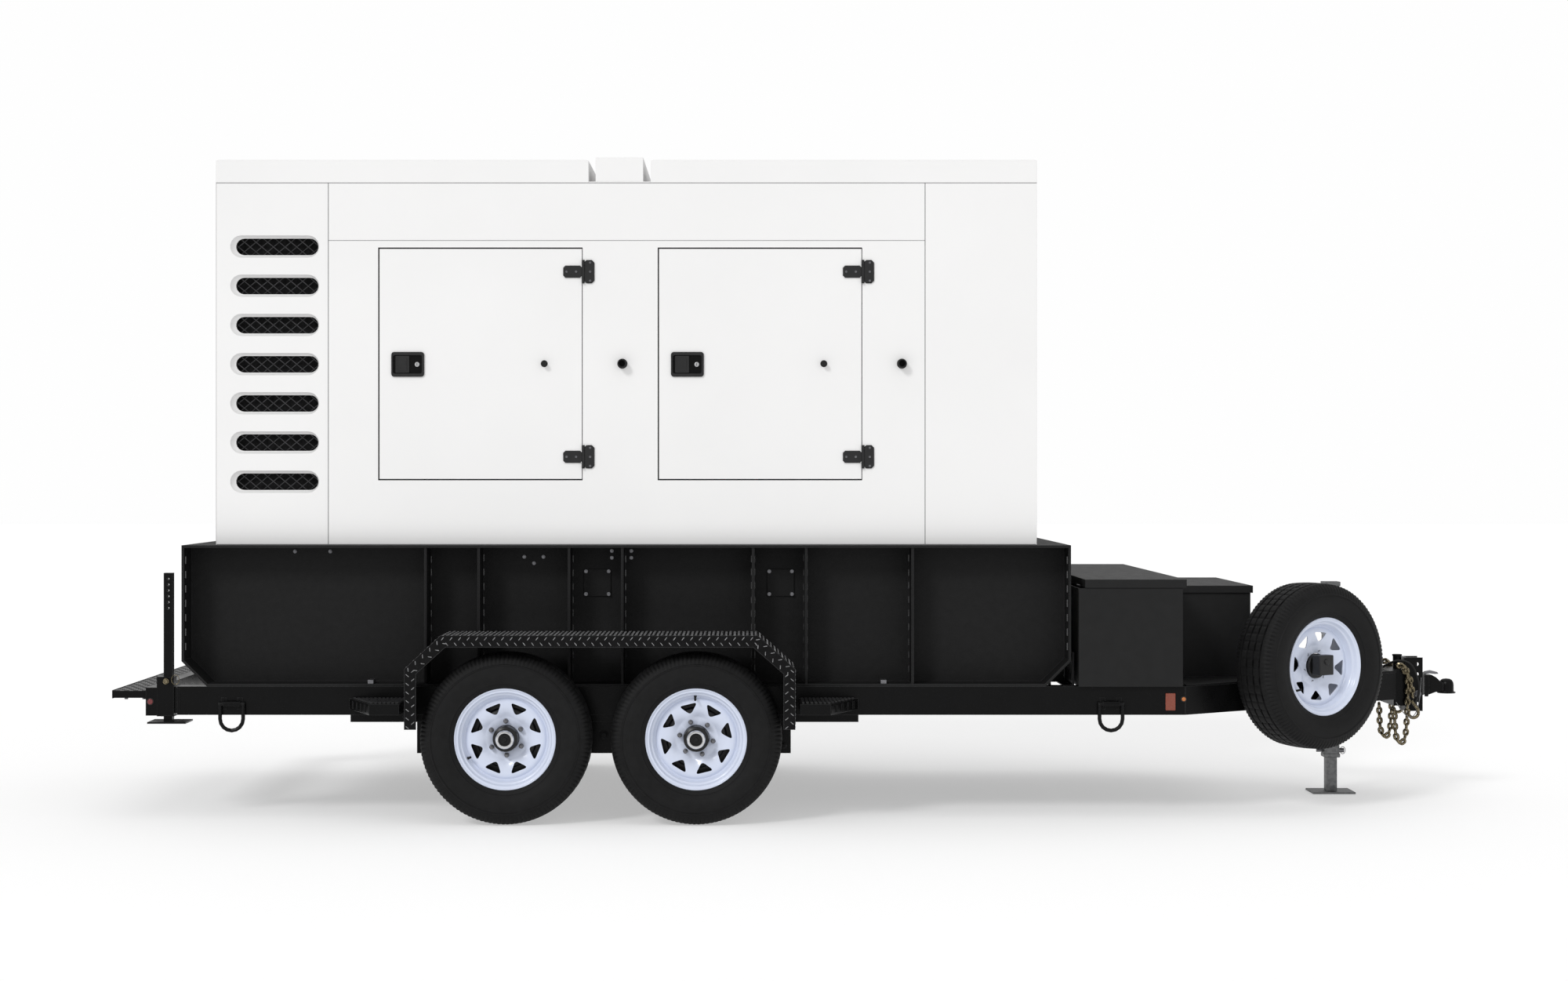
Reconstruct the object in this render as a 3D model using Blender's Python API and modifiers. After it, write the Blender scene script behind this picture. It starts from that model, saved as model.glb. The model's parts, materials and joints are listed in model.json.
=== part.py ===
"""Towable diesel generator: a sound-attenuated generator on a tandem-axle trailer.

Metres, +Z up, +X towards the tow coupler.  The right side is -Y.  The origin is
the middle of the object's footprint, on the ground.
"""
import math

import bmesh
import bpy
from mathutils import Matrix, Vector

GAP = 0.0003                      # clearance between touching solids

# Trailer frame
REAR_X = -2.938                   # rear edge of the deck
RAIL_Y = 0.88                     # outer face of a side rail
RAIL_W = 0.08
RAIL_Z = (0.431, 0.5495)
RAIL_X = (-2.663, 1.54)
CROSS_X = (-2.793, -2.745)
DECK_Z = (0.500, 0.530)
STEP_Y = 1.15                     # outer end of a side step
BEAM_END_X = 2.60                 # where the A-frame beams meet the nose
BEAM_SLOPE = 0.682                # inward run of a beam for each metre forward
SHEET = 0.004                     # sheet metal of the enclosure and boxes

# Wheels
TYRE_R = 0.352
TYRE_W = 0.225
RIM_R = 0.205
WHEEL_Y = 1.015
AXLE_X = {"rear": -1.274, "front": -0.494}
WHEEL_STEPS = 24
HUB_BORE = 0.008                  # hole through the hub's dust cap

# Fenders
FENDER_Y = (0.884, 1.17)
FENDER_T = 0.006
FENDER_LIP = 0.048

# Fuel tank (sub-base)
TANK_X = (-2.644, 1.064)
TANK_Z = (RAIL_Z[1] + GAP, 1.1377)
TANK_Y = 0.88
TANK_WALL_Y = 0.73
TANK_CHAMFER = 0.105
FLANGE = 0.010
STIFFENER_X = (-1.628, -1.406, -1.029, -0.807, -0.261, -0.040, 0.404)
FILLER = (-2.575, 0.35)           # filler hole on the tank's rear shelf
FILLER_R = 0.050

# Enclosure
HOUSE_X = (-2.517, 0.930)
HOUSE_Y = 0.80
HOUSE_Z = (1.138, 2.6567)
ROOF_TOP = 2.756
SEAM_X = (-2.045, 0.461)          # joints of the louvre, side and front sections
ROOF_SPLIT = (-0.952, -0.691)     # ends of the rear and front roofs
LIFT_COVER_X = (-0.9225, -0.723)
LIFT_COVER_TOP = 2.764
LOUVRES = 7
LOUVRE_TOP_Z = 2.390
LOUVRE_PITCH = 0.1646
LOUVRE_X = (-2.436, -2.090)
LOUVRE_H = 0.0695
DOOR_Z = (1.414, 2.380)
DOOR_X = {"rear": (-1.830, -0.980), "front": (-0.656, 0.194)}
DOOR_GAP = 0.003
DOOR_DEPTH = 0.025
HINGE_OUT = 0.006                 # hinge axis outside the skin
HINGE_Z = (1.507, 2.284)

# Tool boxes
MAIN_BOX_X = (1.094, 1.527)
MAIN_BOX_Y = 0.90
MAIN_BOX_TOP = 0.960
MAIN_LID_X = (1.120, 1.542)
MAIN_LID_TOP = 0.996
FRONT_BOX_X = (1.572, 1.900)
FRONT_BOX_Y = 0.43
FRONT_BOX_TOP = 0.918
FRONT_LID_X = (1.5635, 1.909)
FRONT_LID_Y = 0.44
FRONT_LID_TOP = 0.950

# Jacks, coupler, rings, spare
JACK_X = 2.3455
JACK_TUBE = 0.066
JACK_LEG = 0.048
JACK_BOTTOM = 0.159
JACK_TOP = 0.945
STAB_X = -2.702
ROOF_BEVEL = 0.006
STAB_Y = 0.8535
STAB_W = 0.036
STAB_TOP = 1.022
SLEEVE_W = 0.0524
SLEEVE_Z = (0.425, 0.590)
CHANNEL_X = (2.670, 2.748)
BALL = (2.868, 0.481, 0.033)      # x, z and radius of the coupler's dome
LATCH_PIVOT = (2.765, 0, 0.526)
CHAIN_X = (2.600, 2.664)          # rear and front legs of a chain's hanging loop
CHAIN_Z = (0.420, 0.272, 0.550)   # rear end, start of the bend, front end
CHAIN_R = 0.012
CHAIN_Y = 0.1345
RING_X = (-2.4325, 1.229)
RING_HALF = 0.048
RING_ROD = 0.0082
SPARE = Vector((2.11, -0.657, 0.621))
SPARE_TURN = math.radians(32.5)

MATERIALS = {
    "frame_black": ((0.010, 0.010, 0.011), 0.35, 0.0),
    "tank_black": ((0.014, 0.014, 0.015), 0.6, 0.0),
    "housing_white": ((0.86, 0.87, 0.88), 0.35, 0.0),
    "box_grey": ((0.035, 0.036, 0.038), 0.5, 0.0),
    "tread_plate": ((0.012, 0.012, 0.013), 0.3, 0.0),
    "tyre_rubber": ((0.022, 0.022, 0.023), 0.8, 0.0),
    "wheel_white": ((0.60, 0.64, 0.74), 0.35, 0.0),
    "galvanised": ((0.35, 0.36, 0.37), 0.45, 1.0),
    "yellow_zinc": ((0.60, 0.48, 0.22), 0.4, 1.0),
    "steel_cable": ((0.50, 0.50, 0.50), 0.35, 1.0),
    "black_plastic": ((0.012, 0.012, 0.012), 0.45, 0.0),
    "engine_iron": ((0.08, 0.08, 0.085), 0.5, 0.6),
    "radiator_alloy": ((0.30, 0.30, 0.31), 0.45, 0.9),
    "panel_grey": ((0.20, 0.21, 0.22), 0.5, 0.0),
}

for leftover in list(bpy.data.objects):
    bpy.data.objects.remove(leftover)
scene_root = bpy.context.scene.collection
model = bpy.data.collections.new("towable_generator")
scene_root.children.link(model)
assembly = bpy.data.objects.new("assembly", None)
model.objects.link(assembly)


def material(name):
    """The named Principled material, made on first use."""
    found = bpy.data.materials.get(name)
    if found:
        return found
    colour, roughness, metallic = MATERIALS[name]
    made = bpy.data.materials.new(name)
    made.use_nodes = True
    shader = made.node_tree.nodes["Principled BSDF"]
    shader.inputs["Base Color"].default_value = (*colour, 1.0)
    shader.inputs["Roughness"].default_value = roughness
    shader.inputs["Metallic"].default_value = metallic
    return made


def from_bmesh(bm, name="piece"):
    """An object holding the bmesh, linked to the scene."""
    mesh = bpy.data.meshes.new(name)
    bmesh.ops.recalc_face_normals(bm, faces=bm.faces)
    bm.to_mesh(mesh)
    bm.free()
    made = bpy.data.objects.new(name, mesh)
    scene_root.objects.link(made)
    return made


def box(x, y, z):
    """A box between two values on each axis."""
    bm = bmesh.new()
    bmesh.ops.create_cube(bm, size=1.0)
    low = Vector((min(x), min(y), min(z)))
    size = Vector((max(x), max(y), max(z))) - low
    place = Matrix.Translation(low + size / 2) @ Matrix.Diagonal((*size, 1.0))
    bmesh.ops.transform(bm, matrix=place, verts=bm.verts)
    return from_bmesh(bm)


def rod(start, end, radius, sides=12, end_radius=None):
    """A round bar, or a cone, between two points."""
    start, end = Vector(start), Vector(end)
    run = end - start
    bm = bmesh.new()
    bmesh.ops.create_cone(bm, cap_ends=True, segments=sides, radius1=radius,
                          radius2=radius if end_radius is None else end_radius, depth=run.length)
    turn = run.to_track_quat("Z", "Y").to_matrix().to_4x4()
    bmesh.ops.transform(bm, matrix=Matrix.Translation((start + end) / 2) @ turn, verts=bm.verts)
    return from_bmesh(bm)


def to_mesh(source, weld=True):
    """Turn a curve, or an object with modifiers, into a plain mesh object, its caps welded."""
    bpy.context.view_layer.update()
    evaluated = source.evaluated_get(bpy.context.evaluated_depsgraph_get())
    mesh = bpy.data.meshes.new_from_object(evaluated)
    made = bpy.data.objects.new("piece", mesh)
    made.matrix_world = source.matrix_world.copy()
    scene_root.objects.link(made)
    bpy.data.objects.remove(source)
    if not weld:
        return made
    bm = bmesh.new()
    bm.from_mesh(mesh)
    bmesh.ops.remove_doubles(bm, verts=bm.verts, dist=1e-6)
    bmesh.ops.recalc_face_normals(bm, faces=bm.faces)
    bm.to_mesh(mesh)
    bm.free()
    return made


def prism(outline, low, high, plane="XY"):
    """A flat outline given in a plane and extruded along the third axis."""
    curve = bpy.data.curves.new("outline", "CURVE")
    curve.dimensions = "2D"
    curve.fill_mode = "BOTH"
    curve.extrude = (high - low) / 2
    spline = curve.splines.new("POLY")
    spline.points.add(len(outline) - 1)
    for point, (u, v) in zip(spline.points, outline):
        point.co = (u, v, 0.0, 1.0)
    spline.use_cyclic_u = True
    made = bpy.data.objects.new("outline", curve)
    scene_root.objects.link(made)
    middle = (low + high) / 2
    if plane == "XY":
        made.matrix_world = Matrix.Translation((0, 0, middle))
    elif plane == "XZ":
        upright = Matrix.Rotation(math.pi / 2, 4, "X")
        made.matrix_world = Matrix.Translation((0, middle, 0)) @ upright
    else:                                              # YZ
        stand = Matrix(((0, 0, 1, 0), (1, 0, 0, 0), (0, 1, 0, 0), (0, 0, 0, 1)))
        made.matrix_world = Matrix.Translation((middle, 0, 0)) @ stand
    return to_mesh(made)


def tube(points, radius, resolution=2):
    """A round wire through the points."""
    curve = bpy.data.curves.new("wire", "CURVE")
    curve.dimensions = "3D"
    curve.bevel_depth = radius
    curve.bevel_resolution = resolution
    curve.use_fill_caps = True
    spline = curve.splines.new("POLY")
    spline.points.add(len(points) - 1)
    for point, place in zip(spline.points, points):
        point.co = (*place, 1.0)
    made = bpy.data.objects.new("wire", curve)
    scene_root.objects.link(made)
    return to_mesh(made)


def turned(profile, steps):
    """Turn a closed (radius, height) profile about Z; it runs down its outer side."""
    bm = bmesh.new()
    corners = [bm.verts.new((radius, 0.0, height)) for radius, height in profile]
    for first, second in zip(corners, corners[1:] + corners[:1]):
        bm.edges.new((first, second))
    made = from_bmesh(bm)
    screw = made.modifiers.new("turn", "SCREW")
    screw.steps = steps
    screw.render_steps = steps
    screw.use_merge_vertices = True
    screw.merge_threshold = 0.00005
    return to_mesh(made)


def combine(base, others, operation):
    """Union the others with the base, or cut them from it."""
    for other in others:
        modifier = base.modifiers.new("combine", "BOOLEAN")
        modifier.operation = operation
        modifier.solver = "EXACT"
        modifier.object = other
    made = to_mesh(base, weld=False)
    for other in others:
        bpy.data.objects.remove(other)
    return made


def union(base, *others):
    return combine(base, others, "UNION")


def cut(base, *others):
    return combine(base, others, "DIFFERENCE")


def node(made, name, slot, origin=(0.0, 0.0, 0.0), smooth=False):
    """Name a finished solid, put its origin on its joint's axis and file it in the model."""
    origin = Vector(origin)
    mesh = made.data
    mesh.transform(Matrix.Translation(-origin) @ made.matrix_world)
    made.matrix_world = Matrix.Translation(origin)
    made.name = name
    mesh.name = name
    mesh.materials.clear()
    mesh.materials.append(material(slot))
    if smooth:
        mesh.shade_smooth()
        mesh.set_sharp_from_angle(angle=math.radians(35))
    scene_root.objects.unlink(made)
    model.objects.link(made)
    made.parent = assembly
    return made


def mirrored(outline, side):
    """An outline in plan on the right (-1) or left (+1) side, given for the left."""
    return [(x, side * y) for x, y in outline]


def span(side, low, high):
    """A range of Y on one side."""
    return (side * low, side * high)


SIDES = {"right": -1, "left": 1}


# Frame ---------------------------------------------------------------------------------
def beam_y(x):
    """Outer face of an A-frame beam at x."""
    return RAIL_Y - BEAM_SLOPE * (x - RAIL_X[1])


def rail(side):
    """A side rail with its spring hangers and two steps beside the fender."""
    web = box(RAIL_X, span(side, RAIL_Y - RAIL_W, RAIL_Y), RAIL_Z)
    sub = box((-1.94, 0.178), span(side, RAIL_Y - RAIL_W, RAIL_Y - 0.004), (0.401, RAIL_Z[0] + 0.004))
    pieces = [sub]
    for x in ((-1.664, -1.606), (-0.942, -0.826), (-0.162, -0.104)):
        pieces.append(box(x, span(side, 0.815, 0.865), (0.27, 0.405)))
    for x_far, x_near in ((-1.944, -1.70), (0.178, -0.07)):
        root = RAIL_Y - 0.004
        step = [(x_far, root), (x_near, root), (x_near, STEP_Y), ((x_near + x_far) / 2, STEP_Y)]
        pieces.append(prism(mirrored(step, side), 0.455, 0.500))
    return union(web, *pieces)


def rear_crossmember():
    """The rear crossmember and deck, with a square sleeve at each end for a stabiliser leg."""
    bar = box(CROSS_X, (-RAIL_Y, RAIL_Y), (0.428, 0.545))
    blocks = []
    bores = []
    for side in SIDES.values():
        half = SLEEVE_W / 2
        inner = STAB_W / 2 + 0.001
        middle = side * STAB_Y
        blocks.append(box((CROSS_X[1] - 0.002, STAB_X + half), (middle - half, middle + half), SLEEVE_Z))
        bores.append(box((STAB_X - inner, STAB_X + inner), (middle - inner, middle + inner), (0.3, 0.7)))
    deck = box((REAR_X, CROSS_X[0] + 0.002), (-0.86, 0.86), DECK_Z)
    return cut(union(bar, deck, *blocks), *bores)


def spare_frame(along, out, up=0.0):
    """A point near the spare: along its face, out from its middle plane, and up."""
    run = Vector((math.cos(SPARE_TURN), math.sin(SPARE_TURN), 0))
    away = Vector((math.sin(SPARE_TURN), -math.cos(SPARE_TURN), 0))
    return SPARE + run * along + away * out + Vector((0, 0, up))


def spare_carrier():
    """A flat upright against the right beam with a stub that carries the spare."""
    upright = box((-0.05, 0.05), (0.115, 0.150), (-0.185, 0.06))
    turn = Matrix.Rotation(SPARE_TURN, 4, "Z")
    upright.data.transform(Matrix.Translation(SPARE) @ turn)
    stub = rod(spare_frame(0, -0.118), spare_frame(0, 0.0155), 0.030, 12)
    return union(upright, stub)


def tongue_beam(side):
    """One beam of the A-frame, cut square at the rail and at the nose."""
    x0, x1 = RAIL_X[1] + GAP, BEAM_END_X
    width = 0.095
    plan = [(x0, beam_y(x0)), (x1, beam_y(x1)), (x1, beam_y(x1) - width), (x0, beam_y(x0) - width)]
    beam = prism(mirrored(plan, side), *RAIL_Z)
    return union(beam, spare_carrier()) if side == SIDES["right"] else beam


def tongue_nose():
    """Nose block, top plate over both beams with the jack's hole, and the coupler channel."""
    x0, x1 = 2.22, BEAM_END_X + 0.004
    plan = [(x0, beam_y(x0)), (x1, beam_y(x1)), (x1, -beam_y(x1)), (x0, -beam_y(x0))]
    plate = prism(plan, RAIL_Z[1] + GAP, RAIL_Z[1] + 0.010)
    block = box((BEAM_END_X + GAP, CHANNEL_X[0] + 0.002), (-0.12, 0.12), (0.400, RAIL_Z[1] + 0.010))
    web = box((CHANNEL_X[0], CHANNEL_X[0] + 0.010), (-0.052, 0.052), (0.370, 0.610))
    flanges = [box(CHANNEL_X, span(side, 0.042, 0.052), (0.370, 0.610)) for side in SIDES.values()]
    body = union(plate, block, web, *flanges)
    half = JACK_TUBE / 2 + GAP
    hole = box((JACK_X - half, JACK_X + half), (-half, half), (0.5, 0.6))
    holes = [rod((2.724, -0.1, z), (2.724, 0.1, z), 0.0085, 10) for z in (0.402, 0.447, 0.535, 0.580)]
    return cut(body, hole, *holes)


for label, side in SIDES.items():
    node(rail(side), f"{label}_rail", "frame_black")
    node(tongue_beam(side), f"{label}_tongue_beam", "frame_black")
node(rear_crossmember(), "rear_crossmember", "frame_black")
node(tongue_nose(), "tongue_nose", "frame_black")


# Running gear ----------------------------------------------------------------------------
def axle(x):
    """An axle tube with its spindles and a leaf spring at each side."""
    bar = rod((x, -1.030, TYRE_R), (x, 1.030, TYRE_R), 0.03)
    springs = []
    for side in SIDES.values():
        springs.append(box((x - 0.33, x + 0.33), span(side, 0.815, 0.865), (0.295, 0.325)))
    return union(bar, *springs)


def tyre_profile():
    """Section of a tyre: the inner bead side, the tread and the outer bead side."""
    half = TYRE_W / 2
    return [(RIM_R, 0.075), (0.235, half - 0.008), (0.275, half), (0.318, half - 0.004),
            (0.342, half - 0.022), (TYRE_R, 0.0), (0.342, 0.022 - half), (0.318, 0.004 - half),
            (0.275, -half), (0.235, 0.008 - half), (RIM_R, -0.075)]


def wheel_profile():
    """Section of a pressed wheel: rim, drop centre, disc and the hub's dust cap at +Z."""
    return [(HUB_BORE, 0.098), (0.030, 0.096), (0.042, 0.085), (0.042, 0.030), (0.105, 0.030),
            (0.150, 0.052), (0.178, 0.052), (0.185, 0.085), (RIM_R - GAP, 0.090),
            (RIM_R - GAP, -0.085), (0.190, -0.085), (0.178, 0.040), (0.150, 0.040),
            (0.105, 0.016), (0.035, 0.016), (HUB_BORE, 0.016)]


def wheel_solid():
    """A wheel about Z, outer face at +Z, with eight windows through the disc."""
    body = turned(wheel_profile(), WHEEL_STEPS)
    windows = []
    for step in range(8):
        turn = math.tau * step / 8
        window = []
        for radius, offset in ((0.116, 0.0), (0.1465, 0.022), (0.157, 0.0), (0.1465, -0.022)):
            bearing = turn + offset / radius
            window.append((radius * math.cos(bearing), radius * math.sin(bearing)))
        windows.append(prism(window, 0.0, 0.075))
    return cut(body, *windows)


def place(made, where, turn):
    """Move a solid made about Z to its place, with its +Z along the given direction."""
    quat = Vector(turn).to_track_quat("Z", "Y")
    made.matrix_world = Matrix.Translation(where) @ quat.to_matrix().to_4x4()
    return made


for end, x in AXLE_X.items():
    node(axle(x), f"{end}_axle", "frame_black")
    for label, side in SIDES.items():
        centre = (x, side * WHEEL_Y, TYRE_R)
        tyre = place(turned(tyre_profile(), WHEEL_STEPS), centre, (0, side, 0))
        node(tyre, f"{label}_{end}_tyre", "tyre_rubber", centre, smooth=True)
        wheel = place(wheel_solid(), centre, (0, side, 0))
        node(wheel, f"{label}_{end}_wheel", "wheel_white", centre, smooth=True)


def fender(side):
    """A tandem fender bent from plate, with a lip down its outer edge."""
    path = [(-1.677, 0.398), (-1.677, 0.644), (-1.530, 0.780),
            (-0.241, 0.780), (-0.090, 0.644), (-0.090, 0.398)]

    def inset(depth):
        slope = depth * 0.42
        return [(-1.677 + depth, 0.398), (-1.677 + depth, 0.644 - slope), (-1.530 + slope, 0.780 - depth),
                (-0.241 - slope, 0.780 - depth), (-0.090 - depth, 0.644 - slope), (-0.090 - depth, 0.398)]

    skin = prism(path + inset(FENDER_T)[::-1], *sorted(span(side, *FENDER_Y)), plane="XZ")
    edge = sorted(span(side, FENDER_Y[1] - FENDER_T, FENDER_Y[1]))
    lip = prism(path + inset(FENDER_LIP)[::-1], *edge, plane="XZ")
    return union(skin, lip)


for label, side in SIDES.items():
    node(fender(side), f"{label}_fender", "tread_plate")


# Fuel tank -------------------------------------------------------------------------------
def tank_outline(inset):
    """Side view of the tank, chamfered at its lower corners, shrunk by the inset."""
    x0, x1 = TANK_X[0] + inset, TANK_X[1] - inset
    z0, z1 = TANK_Z[0] + inset, TANK_Z[1] - inset
    chamfer = TANK_CHAMFER - inset * 0.59
    rear = [(x0, z1), (x0, z0 + chamfer), (x0 + chamfer, z0)]
    return rear + [(x1 - chamfer, z0), (x1, z0 + chamfer), (x1, z1)]


def fuel_tank():
    """Sub-base tank: hollow core, plate flanges round both sides, and stiffeners."""
    body = prism(tank_outline(0.0), -TANK_Y, TANK_Y, plane="XZ")
    pockets = []
    ribs = []
    for side in SIDES.values():
        low, high = sorted(span(side, TANK_WALL_Y, TANK_Y + 0.01))
        pockets.append(prism(tank_outline(FLANGE), low, high, plane="XZ"))
        for x in STIFFENER_X:
            height = (TANK_Z[0] + 0.005, TANK_Z[1] - 0.005)
            ribs.append(box((x - 0.005, x + 0.005), span(side, TANK_WALL_Y - 0.01, TANK_Y - 0.006), height))
    hollow = prism(tank_outline(0.012), -TANK_WALL_Y + 0.012, TANK_WALL_Y - 0.012, plane="XZ")
    filler = rod((*FILLER, 1.0), (*FILLER, 1.2), FILLER_R, 16)
    return cut(union(cut(body, *pockets), *ribs), hollow, filler)


node(fuel_tank(), "fuel_tank", "tank_black")



# Enclosure -------------------------------------------------------------------------------
def channel_plan(x_closed, x_open):
    """Plan of an end section: an end wall with a side wall at each side."""
    inner_y = HOUSE_Y - SHEET
    inner_x = x_closed + math.copysign(SHEET, x_open - x_closed)
    return [(x_closed, -HOUSE_Y), (x_open, -HOUSE_Y), (x_open, -inner_y), (inner_x, -inner_y),
            (inner_x, inner_y), (x_open, inner_y), (x_open, HOUSE_Y), (x_closed, HOUSE_Y)]


def stadium(x, z_centre, height, arc_steps=5):
    """A slot with round ends, in the XZ plane."""
    radius = height / 2
    ends = ((x[1] - radius, -90), (x[0] + radius, 90))
    outline = []
    for centre, start in ends:
        for step in range(arc_steps + 1):
            angle = math.radians(start + 180 * step / arc_steps)
            outline.append((centre + radius * math.cos(angle), z_centre + radius * math.sin(angle)))
    return outline


def louvre_section():
    """The air-intake end, with a column of slots in each side."""
    body = prism(channel_plan(HOUSE_X[0], SEAM_X[0] - GAP), *HOUSE_Z)
    slots = []
    for number in range(LOUVRES):
        outline = stadium(LOUVRE_X, LOUVRE_TOP_Z - number * LOUVRE_PITCH, LOUVRE_H)
        slots.append(prism(outline, -1.0, 1.0, plane="XZ"))
    return cut(body, *slots)


def side_panel(side):
    """A long side wall with two door openings."""
    wall = box((SEAM_X[0], SEAM_X[1]), span(side, HOUSE_Y - SHEET, HOUSE_Y), HOUSE_Z)
    openings = []
    for x0, x1 in DOOR_X.values():
        x = (x0 - DOOR_GAP, x1 + DOOR_GAP)
        openings.append(box(x, span(side, 0.7, 0.9), (DOOR_Z[0] - DOOR_GAP, DOOR_Z[1] + DOOR_GAP)))
    return cut(wall, *openings)


def roof(x0, x1, top, bevel):
    """A roof pan, open below, with a shallow bevel round its top."""
    steps = [(0.0, HOUSE_Z[1] + GAP), (0.0, top - bevel), (bevel * 1.6, top)]
    side_view = [(x0 + inset, z) for inset, z in steps] + [(x1 - inset, z) for inset, z in reversed(steps)]
    end_view = [(-HOUSE_Y + inset, z) for inset, z in steps]
    end_view += [(HOUSE_Y - inset, z) for inset, z in reversed(steps)]
    body = prism(side_view, -HOUSE_Y, HOUSE_Y, plane="XZ")
    trim = prism(end_view, x0 - 0.01, x1 + 0.01, plane="YZ")
    body = combine(body, [trim], "INTERSECT")
    inner_y = HOUSE_Y - SHEET
    hollow = box((x0 + SHEET, x1 - SHEET), (-inner_y, inner_y), (2.6, top - bevel - SHEET))
    return cut(body, hollow)


def lifting_bay():
    """The gutter between the roofs, with the cover over the lifting eyes."""
    floor_x = (ROOF_SPLIT[0] + GAP, ROOF_SPLIT[1] - GAP)
    floor = box(floor_x, (-HOUSE_Y, HOUSE_Y), (HOUSE_Z[1] + GAP, HOUSE_Z[1] + 0.006))
    cover_y = HOUSE_Y - 0.004
    cover = box(LIFT_COVER_X, (-cover_y, cover_y), (HOUSE_Z[1] + 0.002, LIFT_COVER_TOP))
    inner_x = (LIFT_COVER_X[0] + SHEET, LIFT_COVER_X[1] - SHEET)
    hollow = box(inner_x, (SHEET - cover_y, cover_y - SHEET), (2.6, LIFT_COVER_TOP - SHEET))
    return cut(union(floor, cover), hollow)


def door(side, x):
    """A folded door pan with two outside hinge knuckles on its forward edge."""
    outer = HOUSE_Y
    pan = box(x, span(side, outer - DOOR_DEPTH, outer), DOOR_Z)
    inner_x = (x[0] + SHEET, x[1] - SHEET)
    inner_z = (DOOR_Z[0] + SHEET, DOOR_Z[1] - SHEET)
    hollow = box(inner_x, span(side, outer - DOOR_DEPTH - 0.01, outer - SHEET), inner_z)
    leaves = []
    axis_x = x[1] + HINGE_OUT
    for z in HINGE_Z:
        leaf_x = (x[1] - 0.075, x[1] + 0.0025)
        leaves.append(box(leaf_x, span(side, outer - 0.001, outer + 0.004), (z - 0.024, z + 0.024)))
        leaves.append(rod((axis_x, side * (outer + HINGE_OUT), z - 0.024),
                          (axis_x, side * (outer + HINGE_OUT), z + 0.024), 0.0052, 10))
    return union(cut(pan, hollow), *leaves)


def paddle(side, x):
    """The paddle handle of a door latch."""
    return box((x[0] + 0.064, x[0] + 0.126), span(side, HOUSE_Y + GAP, HOUSE_Y + 0.0075), (1.855, 1.935))


node(louvre_section(), "louvre_section", "housing_white")
front_plan = channel_plan(HOUSE_X[1], SEAM_X[1] + GAP)
node(prism(front_plan, *HOUSE_Z), "front_section", "housing_white")
node(roof(HOUSE_X[0], ROOF_SPLIT[0], ROOF_TOP, ROOF_BEVEL), "rear_roof", "housing_white")
node(roof(ROOF_SPLIT[1], HOUSE_X[1], ROOF_TOP, ROOF_BEVEL), "front_roof", "housing_white")
node(lifting_bay(), "lifting_bay_cover", "housing_white")
for label, side in SIDES.items():
    node(side_panel(side), f"{label}_side_panel", "housing_white")
    for end, x in DOOR_X.items():
        pivot = (x[1] + HINGE_OUT, side * (HOUSE_Y + HINGE_OUT), 1.9)
        node(door(side, x), f"{label}_{end}_door", "housing_white", pivot)
        paddle_pivot = (x[0] + 0.064, side * HOUSE_Y, 1.895)
        node(paddle(side, x), f"{label}_{end}_latch_paddle", "black_plastic", paddle_pivot)


# Power unit ------------------------------------------------------------------------------
FLOOR_Z = TANK_Z[1] + GAP
SHAFT_Z = 1.62
FAN_X = 0.330


def engine():
    """Cylinder block with head, sump, feet and the fan's shaft."""
    block = box((-0.95, 0.18), (-0.20, 0.20), (1.30, 1.92))
    head = box((-0.90, 0.12), (-0.15, 0.15), (1.90, 2.08))
    sump = box((-0.80, 0.02), (-0.14, 0.14), (1.18, 1.32))
    shaft = rod((0.17, 0, SHAFT_Z), (FAN_X - 0.03, 0, SHAFT_Z), 0.03)
    feet = [box((x, x + 0.10), (-0.36, 0.36), (FLOOR_Z, 1.34)) for x in (-0.93, 0.06)]
    return union(block, head, sump, shaft, *feet)


def alternator():
    """Generator end: round barrel, terminal box and feet."""
    barrel = rod((-1.72, 0, SHAFT_Z), (-0.9503, 0, SHAFT_Z), 0.30, 20)
    terminals = box((-1.60, -1.10), (-0.22, 0.22), (1.85, 2.06))
    feet = [box((x, x + 0.09), (-0.34, 0.34), (FLOOR_Z, 1.42)) for x in (-1.65, -1.13)]
    return union(barrel, terminals, *feet)


def radiator():
    """Radiator core between two tanks, on feet."""
    core = box((0.47, 0.56), (-0.55, 0.55), (1.24, 2.40))
    top = box((0.45, 0.58), (-0.57, 0.57), (2.38, 2.48))
    bottom = box((0.45, 0.58), (-0.57, 0.57), (1.20, 1.28))
    feet = [box((0.46, 0.57), span(side, 0.30, 0.40), (FLOOR_Z, 1.22)) for side in SIDES.values()]
    return union(core, top, bottom, *feet)


def cooling_fan():
    """Six-bladed fan on the engine's shaft."""
    hub = rod((FAN_X - 0.02, 0, SHAFT_Z), (FAN_X + 0.03, 0, SHAFT_Z), 0.07, 12)
    blades = []
    for number in range(6):
        blade = box((-0.004, 0.004), (-0.055, 0.055), (0.05, 0.36))
        bearing = Matrix.Rotation(math.tau * number / 6, 4, "X")
        pitch = Matrix.Rotation(math.radians(20), 4, "Z")
        blade.data.transform(Matrix.Translation((FAN_X + 0.005, 0, SHAFT_Z)) @ bearing @ pitch)
        blades.append(blade)
    return union(hub, *blades)


def muffler():
    """Silencer with its downpipe to the engine and its bracket."""
    body = rod((-0.85, 0.42, 2.30), (0.05, 0.42, 2.30), 0.13, 16)
    pipe = tube([(-0.40, 0.42, 2.22), (-0.40, 0.42, 1.90), (-0.40, 0.38, 1.86), (-0.40, 0.2005, 1.86)], 0.04)
    return union(body, pipe)


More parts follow.
